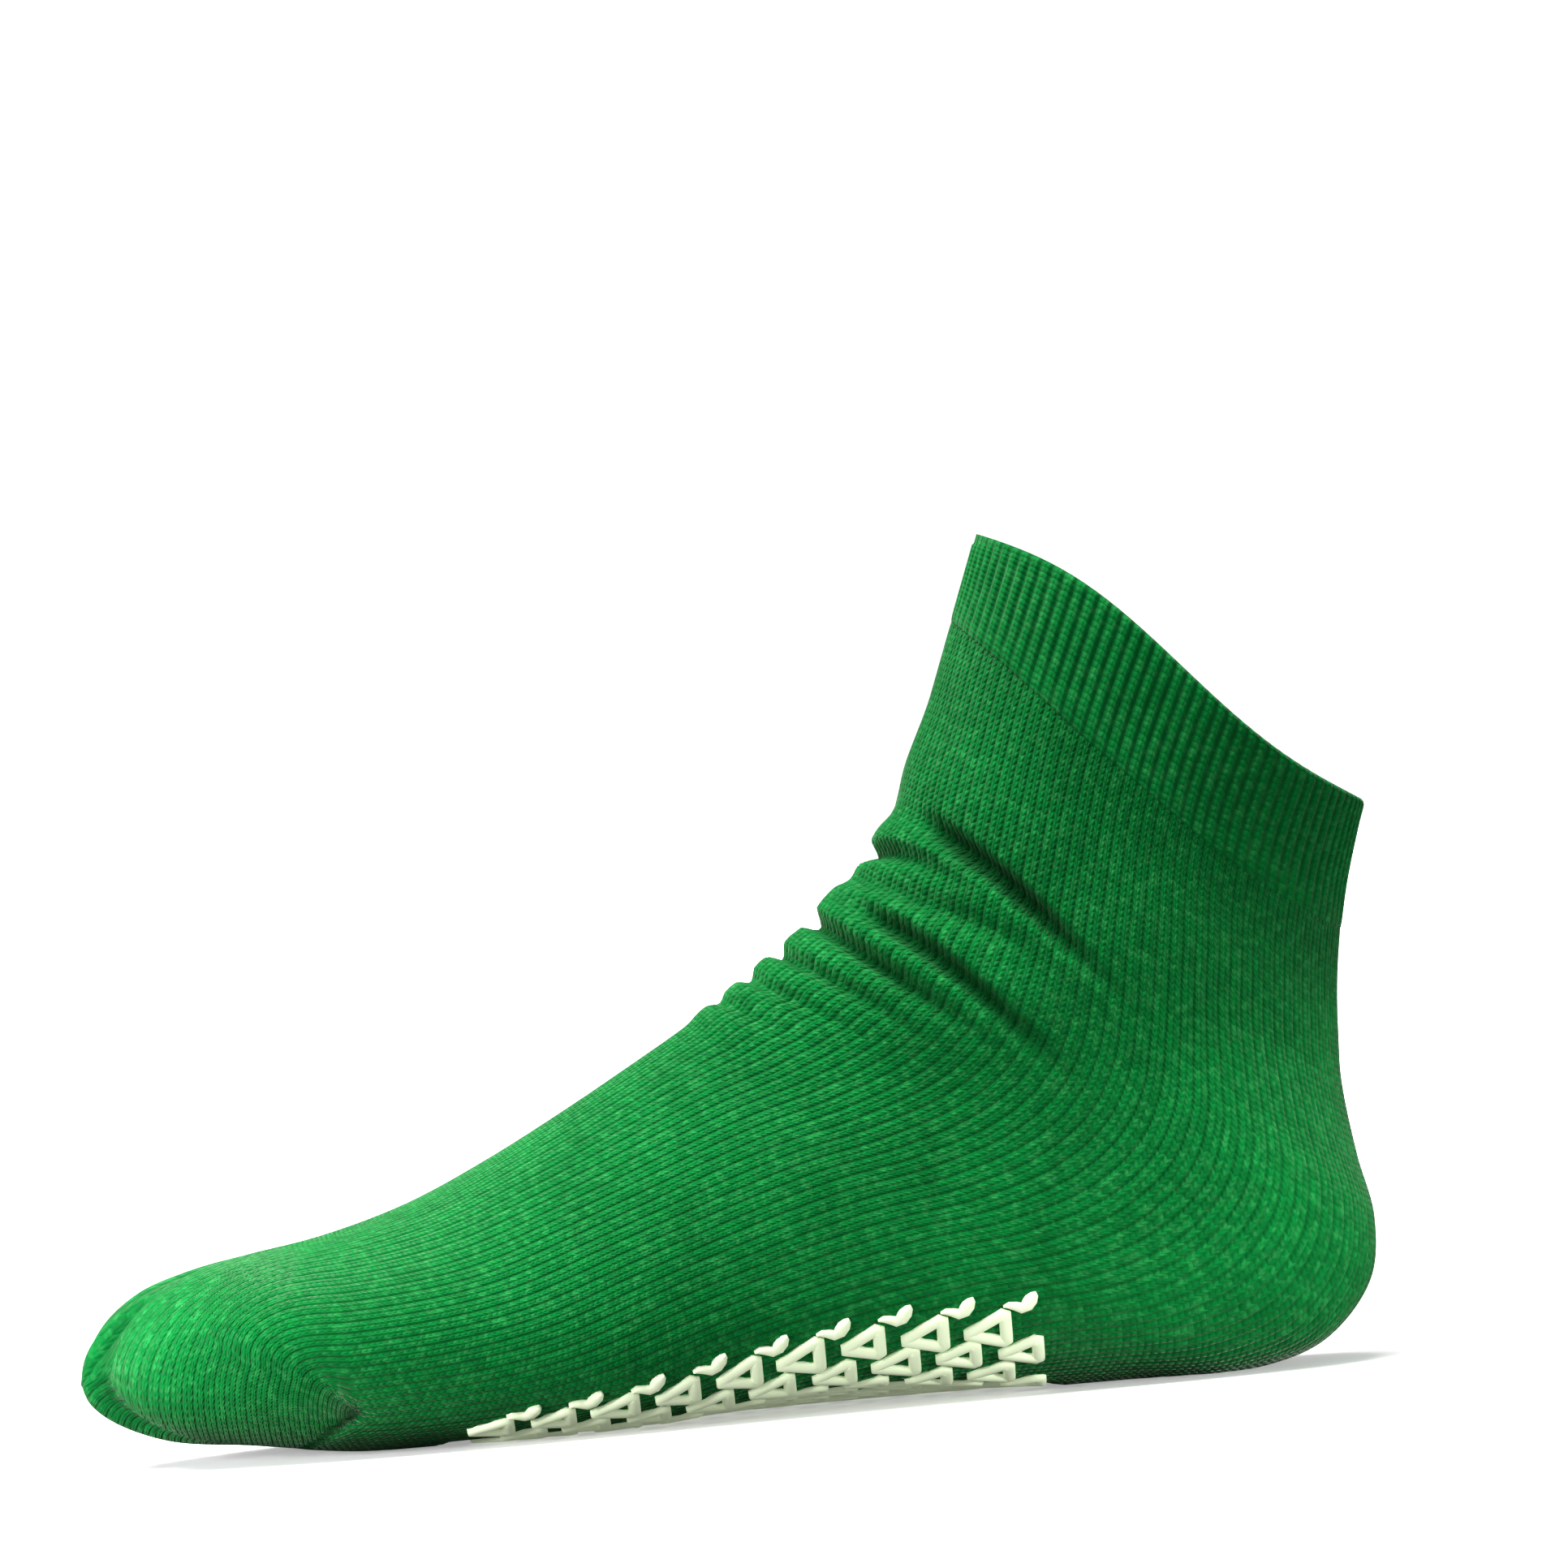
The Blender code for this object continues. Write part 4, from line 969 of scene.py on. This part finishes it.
def yarn_material(name, colour, groove_shade_colour, fuzz_colour, slope, relief, columns, uneven):
    """Knitted yarn: stitches from the Knit UV map, painted shade in the grooves, the stitches' low parts and the
    creases, flecks of lighter fibre and a soft sheen.

    slope leans the stitches, relief is their height in metres, columns counts them across one step of the UV map, and
    uneven is how much their tone differs.
    """
    material, tree, shader = new_material(name)
    corners = new_node(tree, "ShaderNodeUVMap", uv_map="Knit").outputs[0]
    parts = new_node(tree, "ShaderNodeSeparateXYZ", (corners,))
    stitches = group_node(tree, "Knit stitches", (parts.outputs[0], parts.outputs[1], slope, columns))
    fibres = group_node(tree, "Loose fibres", (1.0,))
    patches = ramp(tree, fibres.outputs["Patches"], 0.35, 0.65, 0.90, 1.08)
    flecks = ramp(tree, fibres.outputs["Flecks"], 0.46, 0.72)
    tone = ramp(tree, stitches.outputs["Stitch"], 0.0, 1.0, 1.0 - uneven, 1.0 + uneven)
    level = calc(tree, "MULTIPLY", patches, tone)
    yarn = mix_colour(tree, calc(tree, "MULTIPLY", flecks, 0.42), (*colour, 1.0), (*fuzz_colour, 1.0))
    grey = new_node(tree, "ShaderNodeCombineXYZ", (level, level, level)).outputs[0]
    lit = mix_colour(tree, 1.0, yarn, grey, "MULTIPLY")
    # Painted shade: the stitches' low parts and the grooves between the wales are mixed towards the dark groove
    # colour.
    low = ramp(tree, stitches.outputs["Height"], 0.10, 0.70, 0.36, 0.0)
    dark = calc(tree, "MAXIMUM", calc(tree, "MULTIPLY", stitches.outputs["Groove"], 0.40), low)
    # Painted shade in the creases, between the toes and along the toe seam, from the Hollow attribute
    hollow = new_node(tree, "ShaderNodeAttribute", attribute_name="Hollow").outputs["Fac"]
    dark = calc(tree, "MAXIMUM", dark, calc(tree, "MULTIPLY", hollow, 0.72))
    final = mix_colour(tree, dark, lit, (*groove_shade_colour, 1.0))
    tree.links.new(final, shader.inputs["Base Color"])
    height = calc(tree, "ADD", stitches.outputs["Height"], calc(tree, "MULTIPLY", fibres.outputs["Height"], 0.35))
    add_bump(tree, shader, height, 1.0, relief)
    shader.inputs["Roughness"].default_value = 0.88
    shader.inputs["Specular IOR Level"].default_value = 0.03
    shader.inputs["Sheen Weight"].default_value = 0.14
    shader.inputs["Sheen Roughness"].default_value = 0.35
    shader.inputs["Sheen Tint"].default_value = (0.85, 1.0, 0.78, 1.0)
    return material


def rubber_material(name, colour):
    """Printed rubber: cream, a little uneven, with a soft gloss and a faint painted glow that lightens it."""
    material, tree, shader = new_material(name)
    fibres = group_node(tree, "Loose fibres", (0.6,))
    shade = ramp(tree, fibres.outputs["Patches"], 0.3, 0.7)
    darker = tuple(channel * 0.86 for channel in colour)
    tint = mix_colour(tree, shade, (*darker, 1.0), (*colour, 1.0))
    tree.links.new(tint, shader.inputs["Base Color"])
    add_bump(tree, shader, fibres.outputs["Flecks"], 0.5, 0.00015)
    shader.inputs["Roughness"].default_value = 0.48
    shader.inputs["Specular IOR Level"].default_value = 0.4
    # Painted light: the rubber glows faintly in its own cream, lightening the grips as if more light fell on them
    shader.inputs["Emission Color"].default_value = (*colour, 1.0)
    shader.inputs["Emission Strength"].default_value = 0.17
    return material


# ---------------------------------------------------------------- pieces


class SOCK_OT_body(bpy.types.Operator):
    """Make the knitted body: leg, heel, foot and toe pocket with their folds, wales and toe seam"""

    bl_idname = "sock.body"
    bl_label = "Sock body"

    def execute(self, context):
        settings = settings_of(context)
        form, knit, cuff = settings.form, settings.knit, settings.cuff
        surface = Surface(settings)
        count = knit.columns_per_pair * knit.wales
        cuff_end = cuff.length / surface.length
        step = knit.clearance / surface.length
        welt = -(cuff.wall - cuff.proud + knit.clearance)
        welt_top = (cuff.rim_height + knit.clearance) / surface.length
        lift = cuff.front_lift * (1.0 - smooth_step(surface.round_share(count) / cuff.lift_reach))
        edge = cuff_end - (cuff.tuck + lift) / surface.length
        shortest = cuff_end - cuff.front_lift / surface.length
        under = np.linspace(shortest, cuff_end + step, cuff.rows_under)
        below = surface.spaced(cuff_end + 2 * step, knit.rows_outside)
        along = np.concatenate([[welt_top, (welt_top + shortest) / 2], under, below])
        wale, course, in_toe, seam = surface.toe_wales(along, count)
        columns = np.arange(count + 1)
        far_side = (columns < count // 2)[None, :]
        around = columns[None, :] * knit.wales / count
        folded = np.where(far_side, wale[:, columns % count], knit.wales - wale[:, columns % count])
        share = in_toe[:, columns % count]
        pair = around + share * (folded - around)
        part = pair[:, :count] % 1.0
        straight = np.interp(part, (0.0, 0.25, 0.5, 0.75, 1.0), PAIR_RELIEF)
        nested = TOE_CREST - TOE_WAVE * (1.0 + np.cos(2.0 * math.pi * part))
        nested *= 1.0 - smooth_step((surface.round_share(count) - UNDER_TOES) / UNDER_FADE)[None, :]
        painted_shade_mask = surface.painted_crease_shade(along, count)
        offset = knit.ridge * ((1.0 - in_toe) * straight + knit.toe_ridge * in_toe * nested)
        offset *= 1.0 + knit.crease_ridge * surface.nearness(along)[:, None]
        offset *= 1.0 - smooth_step((along[:, None] - TIP_START) / (1.0 - TIP_START))
        past_edge = (along[:, None] - edge[None, :]) * surface.length
        offset *= smooth_step(past_edge / cuff.edge_fade)
        offset -= knit.seam_depth * (1.0 - seam)
        offset = np.where(past_edge < 0.0, welt, offset)
        shift = np.array(centre_shift(surface))
        outer = surface.tube(along, count, offset) + shift
        outer[-1] = outer[-1].mean(axis=0)
        outer[..., 2] = np.maximum(outer[..., 2], 0.0)
        lengthwise = knit.courses * along[:, None]
        row_of = lengthwise + share * (course[:, columns % count] - lengthwise)
        outer_uv = np.stack([pair, row_of], axis=-1).tolist()
        bm = bmesh.new()
        add_tube(bm, outer.tolist(), lambda column, row: outer_uv[row][column])
        places = np.concatenate([[welt_top, cuff_end], surface.spaced(cuff_end + 3 * step, knit.rows_inside)])
        inward = np.full((len(places), knit.wales), -knit.wall)
        front = 1.0 - smooth_step((surface.round_share(knit.wales) - LINING_FRONT) / LINING_FADE)
        inward -= knit.crease_room * surface.nearness(places)[:, None] * front[None, :]
        inward[:2] = welt - cuff.welt_wall
        inner = surface.tube(places, knit.wales, inward, 0.0) + shift
        inner[-1] = inner[-1].mean(axis=0)
        add_tube(bm, inner.tolist(), lambda column, row: (column, knit.courses * places[row]))
        bmesh.ops.bridge_loops(bm, edges=[edge for edge in bm.edges if edge.is_boundary])
        material = yarn_material(
            "Green jersey", knit.colour, knit.groove_shade_colour, knit.fuzz_colour,
            slope=0.55, relief=0.00030, columns=2.0, uneven=0.15)
        body = finished(bm, "sock_body", material, ["knit_sock"])
        # Painted shade for the creases, the grooves between the toes and the toe seam's crease, read by the yarn
        # material
        self.mark_painted_shade(body, outer, np.maximum(painted_shade_mask, 1.0 - seam))
        if len(body.data.polygons) < count * knit.rows_outside:
            raise RuntimeError("the sock's body lost its faces")
        return {"FINISHED"}

    def mark_painted_shade(self, body, outer, painted_crease_shade):
        """Gives each point of the outer face its painted shade for a crease, a toe groove or the toe seam, as the
        attribute Hollow.
        """
        depth = painted_crease_shade.reshape(-1)
        places = outer.reshape(-1, 3)
        tree = KDTree(len(places))
        for index, place in enumerate(places):
            tree.insert(place, index)
        tree.balance()
        values = []
        for vertex in body.data.vertices:
            index, away = tree.find(vertex.co)[1:]
            values.append(float(depth[index]) if away < SAME_PLACE else 0.0)
        layer = body.data.attributes.new("Hollow", "FLOAT", "POINT")
        layer.data.foreach_set("value", values)


class SOCK_OT_cuff(bpy.types.Operator):
    """Make the ribbed cuff, turned over the top of the body"""

    bl_idname = "sock.cuff"
    bl_label = "Sock cuff"

    def execute(self, context):
        settings = settings_of(context)
        knit, cuff = settings.knit, settings.cuff
        surface = Surface(settings)
        count = cuff.ribs * cuff.columns_per_rib
        end, rim = cuff.length / surface.length, cuff.rim_height / surface.length
        turned = cuff.proud - cuff.wall - knit.clearance - cuff.welt_wall
        phase = 2.0 * math.pi * np.arange(count) / cuff.columns_per_rib
        groove = (0.5 - 0.5 * np.cos(phase)) ** RIB_POWER - 1.0
        lift = 1.0 - smooth_step(surface.round_share(count) / cuff.lift_reach)
        shift = np.array(centre_shift(surface))
        rows, heights = [], [0.0]
        for point in CUFF_PROFILE:
            along = point.along * (rim if point.rim else end)
            base = turned + point.across * (cuff.proud - turned)
            outward = 1.0 if point.across > 0.5 else -1.0
            offset = base + outward * cuff.rib_height * point.rib * groove
            lifted = along * (1.0 if point.rim else 1.0 - cuff.front_lift / cuff.length)
            places = np.array([lifted, along, along + 0.01, 1.0])
            rings = surface.tube(places, count, np.stack([offset, offset, 0.0 * offset, 0.0 * offset]))
            ring = rings[1] + (rings[0] - rings[1]) * lift[:, None] + shift
            if rows:
                heights.append(heights[-1] + float(np.linalg.norm(ring - rows[-1], axis=1).mean()))
            rows.append(ring)
        heights.append(heights[-1])
        bm = bmesh.new()
        rings = [row.tolist() for row in rows]
        add_tube(bm, rings, lambda column, row: (column / cuff.columns_per_rib, heights[row] / cuff.course), True)
        material = yarn_material(
            "Green rib", cuff.colour, knit.groove_shade_colour, knit.fuzz_colour,
            slope=0.30, relief=0.00026, columns=1.0, uneven=0.10)
        finished(bm, "sock_cuff", material, ["cuff"])
        return {"FINISHED"}


class SOCK_OT_grips(bpy.types.Operator):
    """Print the rubber grips and the half marks at their edge on the sole"""

    bl_idname = "sock.grips"
    bl_label = "Sock grips"

    def execute(self, context):
        settings = settings_of(context)
        grips = settings.grips
        chart = SoleChart(Surface(settings), settings)
        ring = self.triangle_line(grips)
        tick = [(point.x * grips.side, point.y * grips.side, point.width * grips.side) for point in TICK_LINE]
        bm = bmesh.new()
        for row in GRIP_ROWS + TICK_ROWS:
            closed = row in GRIP_ROWS
            side = 1.0 if row.wales > 0.0 else -1.0
            for k in range(row.count):
                length = grips.start + (k + 0.5 + row.shift) * grips.pitch
                size = 1.0 + grips.uneven * math.sin(2.3 * k + 0.9 * row.wales)
                line = [(x * size, y * size, width) for x, y, width in ring]
                if not closed:
                    line = [(x, y * side, width) for x, y, width in tick]
                self.stroke(bm, chart, grips, line, length, row.wales * self.closing(grips, k), closed)
        bmesh.ops.remove_doubles(bm, verts=bm.verts, dist=WELD)
        nodes = sorted(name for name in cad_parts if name.startswith("grip_"))
        material = rubber_material("Cream rubber", grips.colour)
        finished(bm, "sock_grips", material, nodes)
        return {"FINISHED"}

    def closing(self, grips, k):
        """How far the rows have closed in on the middle of the sole at the grip's place in its row."""
        return 1.0 - grips.droop * float(smooth_step((k - CLOSING_START) / CLOSING_GRIPS))

    def triangle_line(self, grips):
        """The middle line of a grip's bars, as points with the bar's width."""
        points = []
        for first, second in zip(GRIP_CORNERS, GRIP_CORNERS[1:] + GRIP_CORNERS[:1]):
            for share in CORNER_SHARES:
                points.append((
                    grips.side * (first.x + share * (second.x - first.x)),
                    grips.side * (first.y + share * (second.y - first.y)),
                    grips.bar,
                ))
        return points

    def stroke(self, bm, chart, grips, line, length, wales, closed):
        """A rounded bar of rubber along a line on the sole."""
        pitch = chart.wale_pitch(length, wales)
        count = len(line)
        height = grips.thickness + chart.clearance
        places = []
        for i, (x, y, width) in enumerate(line):
            before, after = line[(i - 1) % count], line[(i + 1) % count]
            if not closed:
                before, after = line[max(i - 1, 0)], line[min(i + 1, count - 1)]
            run_x, run_y = after[0] - before[0], after[1] - before[1]
            size = math.hypot(run_x, run_y)
            across_x, across_y = -run_y / size, run_x / size
            ring = []
            for aside, up in BAR_PROFILE:
                dx = x + across_x * aside * width / 2
                dy = y + across_y * aside * width / 2
                ring.append(chart.point(length + dx, wales + dy / pitch, up * height))
            places.append(ring)
        steps = count if closed else count - 1
        made = bmesh.ops.create_grid(bm, x_segments=steps, y_segments=len(BAR_PROFILE), size=0.5)["verts"]
        for vert in made:
            i = round((vert.co.x + 0.5) * steps) % count
            j = round((vert.co.y + 0.5) * len(BAR_PROFILE)) % len(BAR_PROFILE)
            vert.co = places[i][j]
        bmesh.ops.remove_doubles(bm, verts=made, dist=WELD)
        if not closed:
            edges = [edge for edge in bm.edges if edge.is_boundary]
            if edges:
                bmesh.ops.holes_fill(bm, edges=edges, sides=0)


class SoleChart:
    """Finds the point of the sole at a length from the toe and a number of wales from the middle of the sole."""

    def __init__(self, surface, settings):
        self.wales = settings.grips.chart
        self.clearance = settings.knit.clearance
        self.shift = centre_shift(surface)
        along = np.linspace(CHART_START, 1.0, CHART_ROWS)
        count = 2 * self.wales
        self.grid = surface.tube(along, count, np.zeros((CHART_ROWS, count)), knitted=False)
        self.normal = surface.normals(self.grid)

    def point(self, length, wales, offset):
        """The point offset metres off the cloth, not lower than the floor, in the frame's place."""
        place = self.wales + 2.0 * wales
        low = int(math.floor(place))
        share = place - low
        found = np.zeros(3)
        out = np.zeros(3)
        for column, weight in ((low, 1.0 - share), (low + 1, share)):
            line = self.grid[::-1, column % (2 * self.wales)]
            outward = self.normal[::-1, column % (2 * self.wales)]
            for axis in range(3):
                found[axis] += weight * np.interp(length, line[:, 0], line[:, axis])
                out[axis] += weight * np.interp(length, line[:, 0], outward[:, axis])
        spot = found + offset * out / np.linalg.norm(out)
        return Vector((spot[0], spot[1], max(spot[2], FLOOR_GAP))) + self.shift

    def wale_pitch(self, length, wales):
        """The width of one wale at that place, in metres."""
        return (self.point(length, wales + 0.5, 0.0) - self.point(length, wales - 0.5, 0.0)).length


class SOCK_OT_stage(bpy.types.Operator):
    """Set up the white floor, the studio lights, the backdrop and the camera"""

    bl_idname = "sock.stage"
    bl_label = "Sock stage"

    def execute(self, context):
        stage = settings_of(context).stage
        scene = context.scene
        scene.view_settings.view_transform = "Standard"
        self.floor(scene, stage)
        self.world(scene, stage)
        self.sun(scene, "key", stage.key, KEY_DIRECTION, stage.key_softness)
        self.softbox(scene, "toe light", stage.toe_light, TOE_BOX)
        self.softbox(scene, "heel light", stage.heel_light, HEEL_BOX)
        self.camera(scene, stage)
        return {"FINISHED"}

    def floor(self, scene, stage):
        """A white floor far wider than the picture."""
        bm = bmesh.new()
        bmesh.ops.create_grid(bm, x_segments=1, y_segments=1, size=FLOOR_SIZE)
        mesh = bpy.data.meshes.new("floor")
        bm.to_mesh(mesh)
        bm.free()
        material, tree, shader = new_material("White floor")
        shader.inputs["Base Color"].default_value = (*stage.white, 1.0)
        shader.inputs["Roughness"].default_value = 0.9
        shader.inputs["Specular IOR Level"].default_value = 0.0
        shader.inputs["Emission Color"].default_value = (1.0, 1.0, 1.0, 1.0)
        shader.inputs["Emission Strength"].default_value = stage.shadow_fill
        darker = new_node(tree, "ShaderNodeBsdfDiffuse", ((stage.bounce, stage.bounce, stage.bounce, 1.0),))
        seen = new_node(tree, "ShaderNodeLightPath").outputs["Is Camera Ray"]
        both = new_node(tree, "ShaderNodeMixShader", (seen, darker.outputs[0], shader.outputs[0]))
        tree.links.new(both.outputs[0], tree.nodes["Material Output"].inputs["Surface"])
        mesh.materials.append(material)
        floor = bpy.data.objects.new("floor", mesh)
        scene.collection.objects.link(floor)
        floor.location.z = -FLOOR_DROP

    def world(self, scene, stage):
        """White to the camera, and a softer light on everything else."""
        world = bpy.data.worlds.new("White room")
        world.use_nodes = True
        tree = world.node_tree
        background = tree.nodes["Background"]
        background.inputs["Color"].default_value = (1.0, 1.0, 1.0, 1.0)
        seen = new_node(tree, "ShaderNodeLightPath").outputs["Is Camera Ray"]
        level = new_node(tree, "ShaderNodeMapRange", (seen, 0.0, 1.0, stage.ambient, 1.1)).outputs[0]
        tree.links.new(level, background.inputs["Strength"])
        scene.world = world

    def sun(self, scene, name, strength, direction, softness):
        """A wide soft light from a direction, as strong all over the floor."""
        data = bpy.data.lights.new(name, "SUN")
        data.energy = strength
        data.angle = softness
        lamp = bpy.data.objects.new(name, data)
        scene.collection.objects.link(lamp)
        lamp.rotation_mode = "QUATERNION"
        lamp.rotation_quaternion = Vector(direction).to_track_quat("Z", "Y")

    def softbox(self, scene, name, power, box):
        """A square soft light at its place, turned to its target."""
        data = bpy.data.lights.new(name, "AREA")
        data.energy = power
        data.size = box.size
        data.spread = math.radians(box.spread)
        lamp = bpy.data.objects.new(name, data)
        scene.collection.objects.link(lamp)
        lamp.location = box.place
        lamp.rotation_mode = "QUATERNION"
        lamp.rotation_quaternion = (Vector(box.place) - Vector(box.target)).to_track_quat("Z", "Y")

    def camera(self, scene, stage):
        """The camera at the inner side of the foot, rolled so that the toe end drops in the picture."""
        data = bpy.data.cameras.new("camera")
        data.lens = data.sensor_width * stage.distance / stage.picture_width
        data.clip_start, data.clip_end = 0.05, 30.0
        camera = bpy.data.objects.new("camera", data)
        scene.collection.objects.link(camera)
        away = Vector((
            math.sin(stage.azimuth) * math.cos(stage.elevation),
            -math.cos(stage.azimuth) * math.cos(stage.elevation),
            math.sin(stage.elevation),
        ))
        aim = Vector((stage.aim_x, 0.0, stage.aim_z))
        right = Vector((math.cos(stage.azimuth), math.sin(stage.azimuth), 0.0))
        up = away.cross(right)
        turned_right = right * math.cos(stage.roll) - up * math.sin(stage.roll)
        turned_up = right * math.sin(stage.roll) + up * math.cos(stage.roll)
        turn = Matrix((turned_right, turned_up, away)).transposed()
        camera.matrix_world = Matrix.Translation(aim + away * stage.distance) @ turn.to_4x4()
        scene.camera = camera


class SOCK_PT_panel(bpy.types.Panel):
    """Settings and steps of the slipper sock"""

    bl_idname = "SOCK_PT_panel"
    bl_label = "Slipper sock"
    bl_space_type = "VIEW_3D"
    bl_region_type = "UI"
    bl_category = "Sock"

    def draw(self, context):
        settings = settings_of(context)
        for title, group in (
            ("Form", settings.form), ("Knit", settings.knit), ("Cuff", settings.cuff),
            ("Grips", settings.grips), ("Stage", settings.stage),
        ):
            box = self.layout.box()
            box.label(text=title)
            for name in group.__annotations__:
                box.prop(group, name)
        for step in STEPS:
            self.layout.operator(step.bl_idname)


STEPS = (SOCK_OT_body, SOCK_OT_cuff, SOCK_OT_grips, SOCK_OT_stage)
CLASSES = (SockForm, SockKnit, SockCuff, SockPrint, SockStage, SockSettings, *STEPS, SOCK_PT_panel)


def register():
    """Registers the classes and adds the settings to the scene."""
    for item in CLASSES:
        bpy.utils.register_class(item)
    bpy.types.Scene.sock_settings = bpy.props.PointerProperty(type=SockSettings)


def unregister():
    """Takes the settings and the classes away again."""
    del bpy.types.Scene.sock_settings
    for item in reversed(CLASSES):
        bpy.utils.unregister_class(item)


def main():
    """Makes every piece in order."""
    register()
    bpy.ops.sock.body()
    bpy.ops.sock.cuff()
    bpy.ops.sock.grips()
    bpy.ops.sock.stage()


if __name__ == "__main__":
    main()
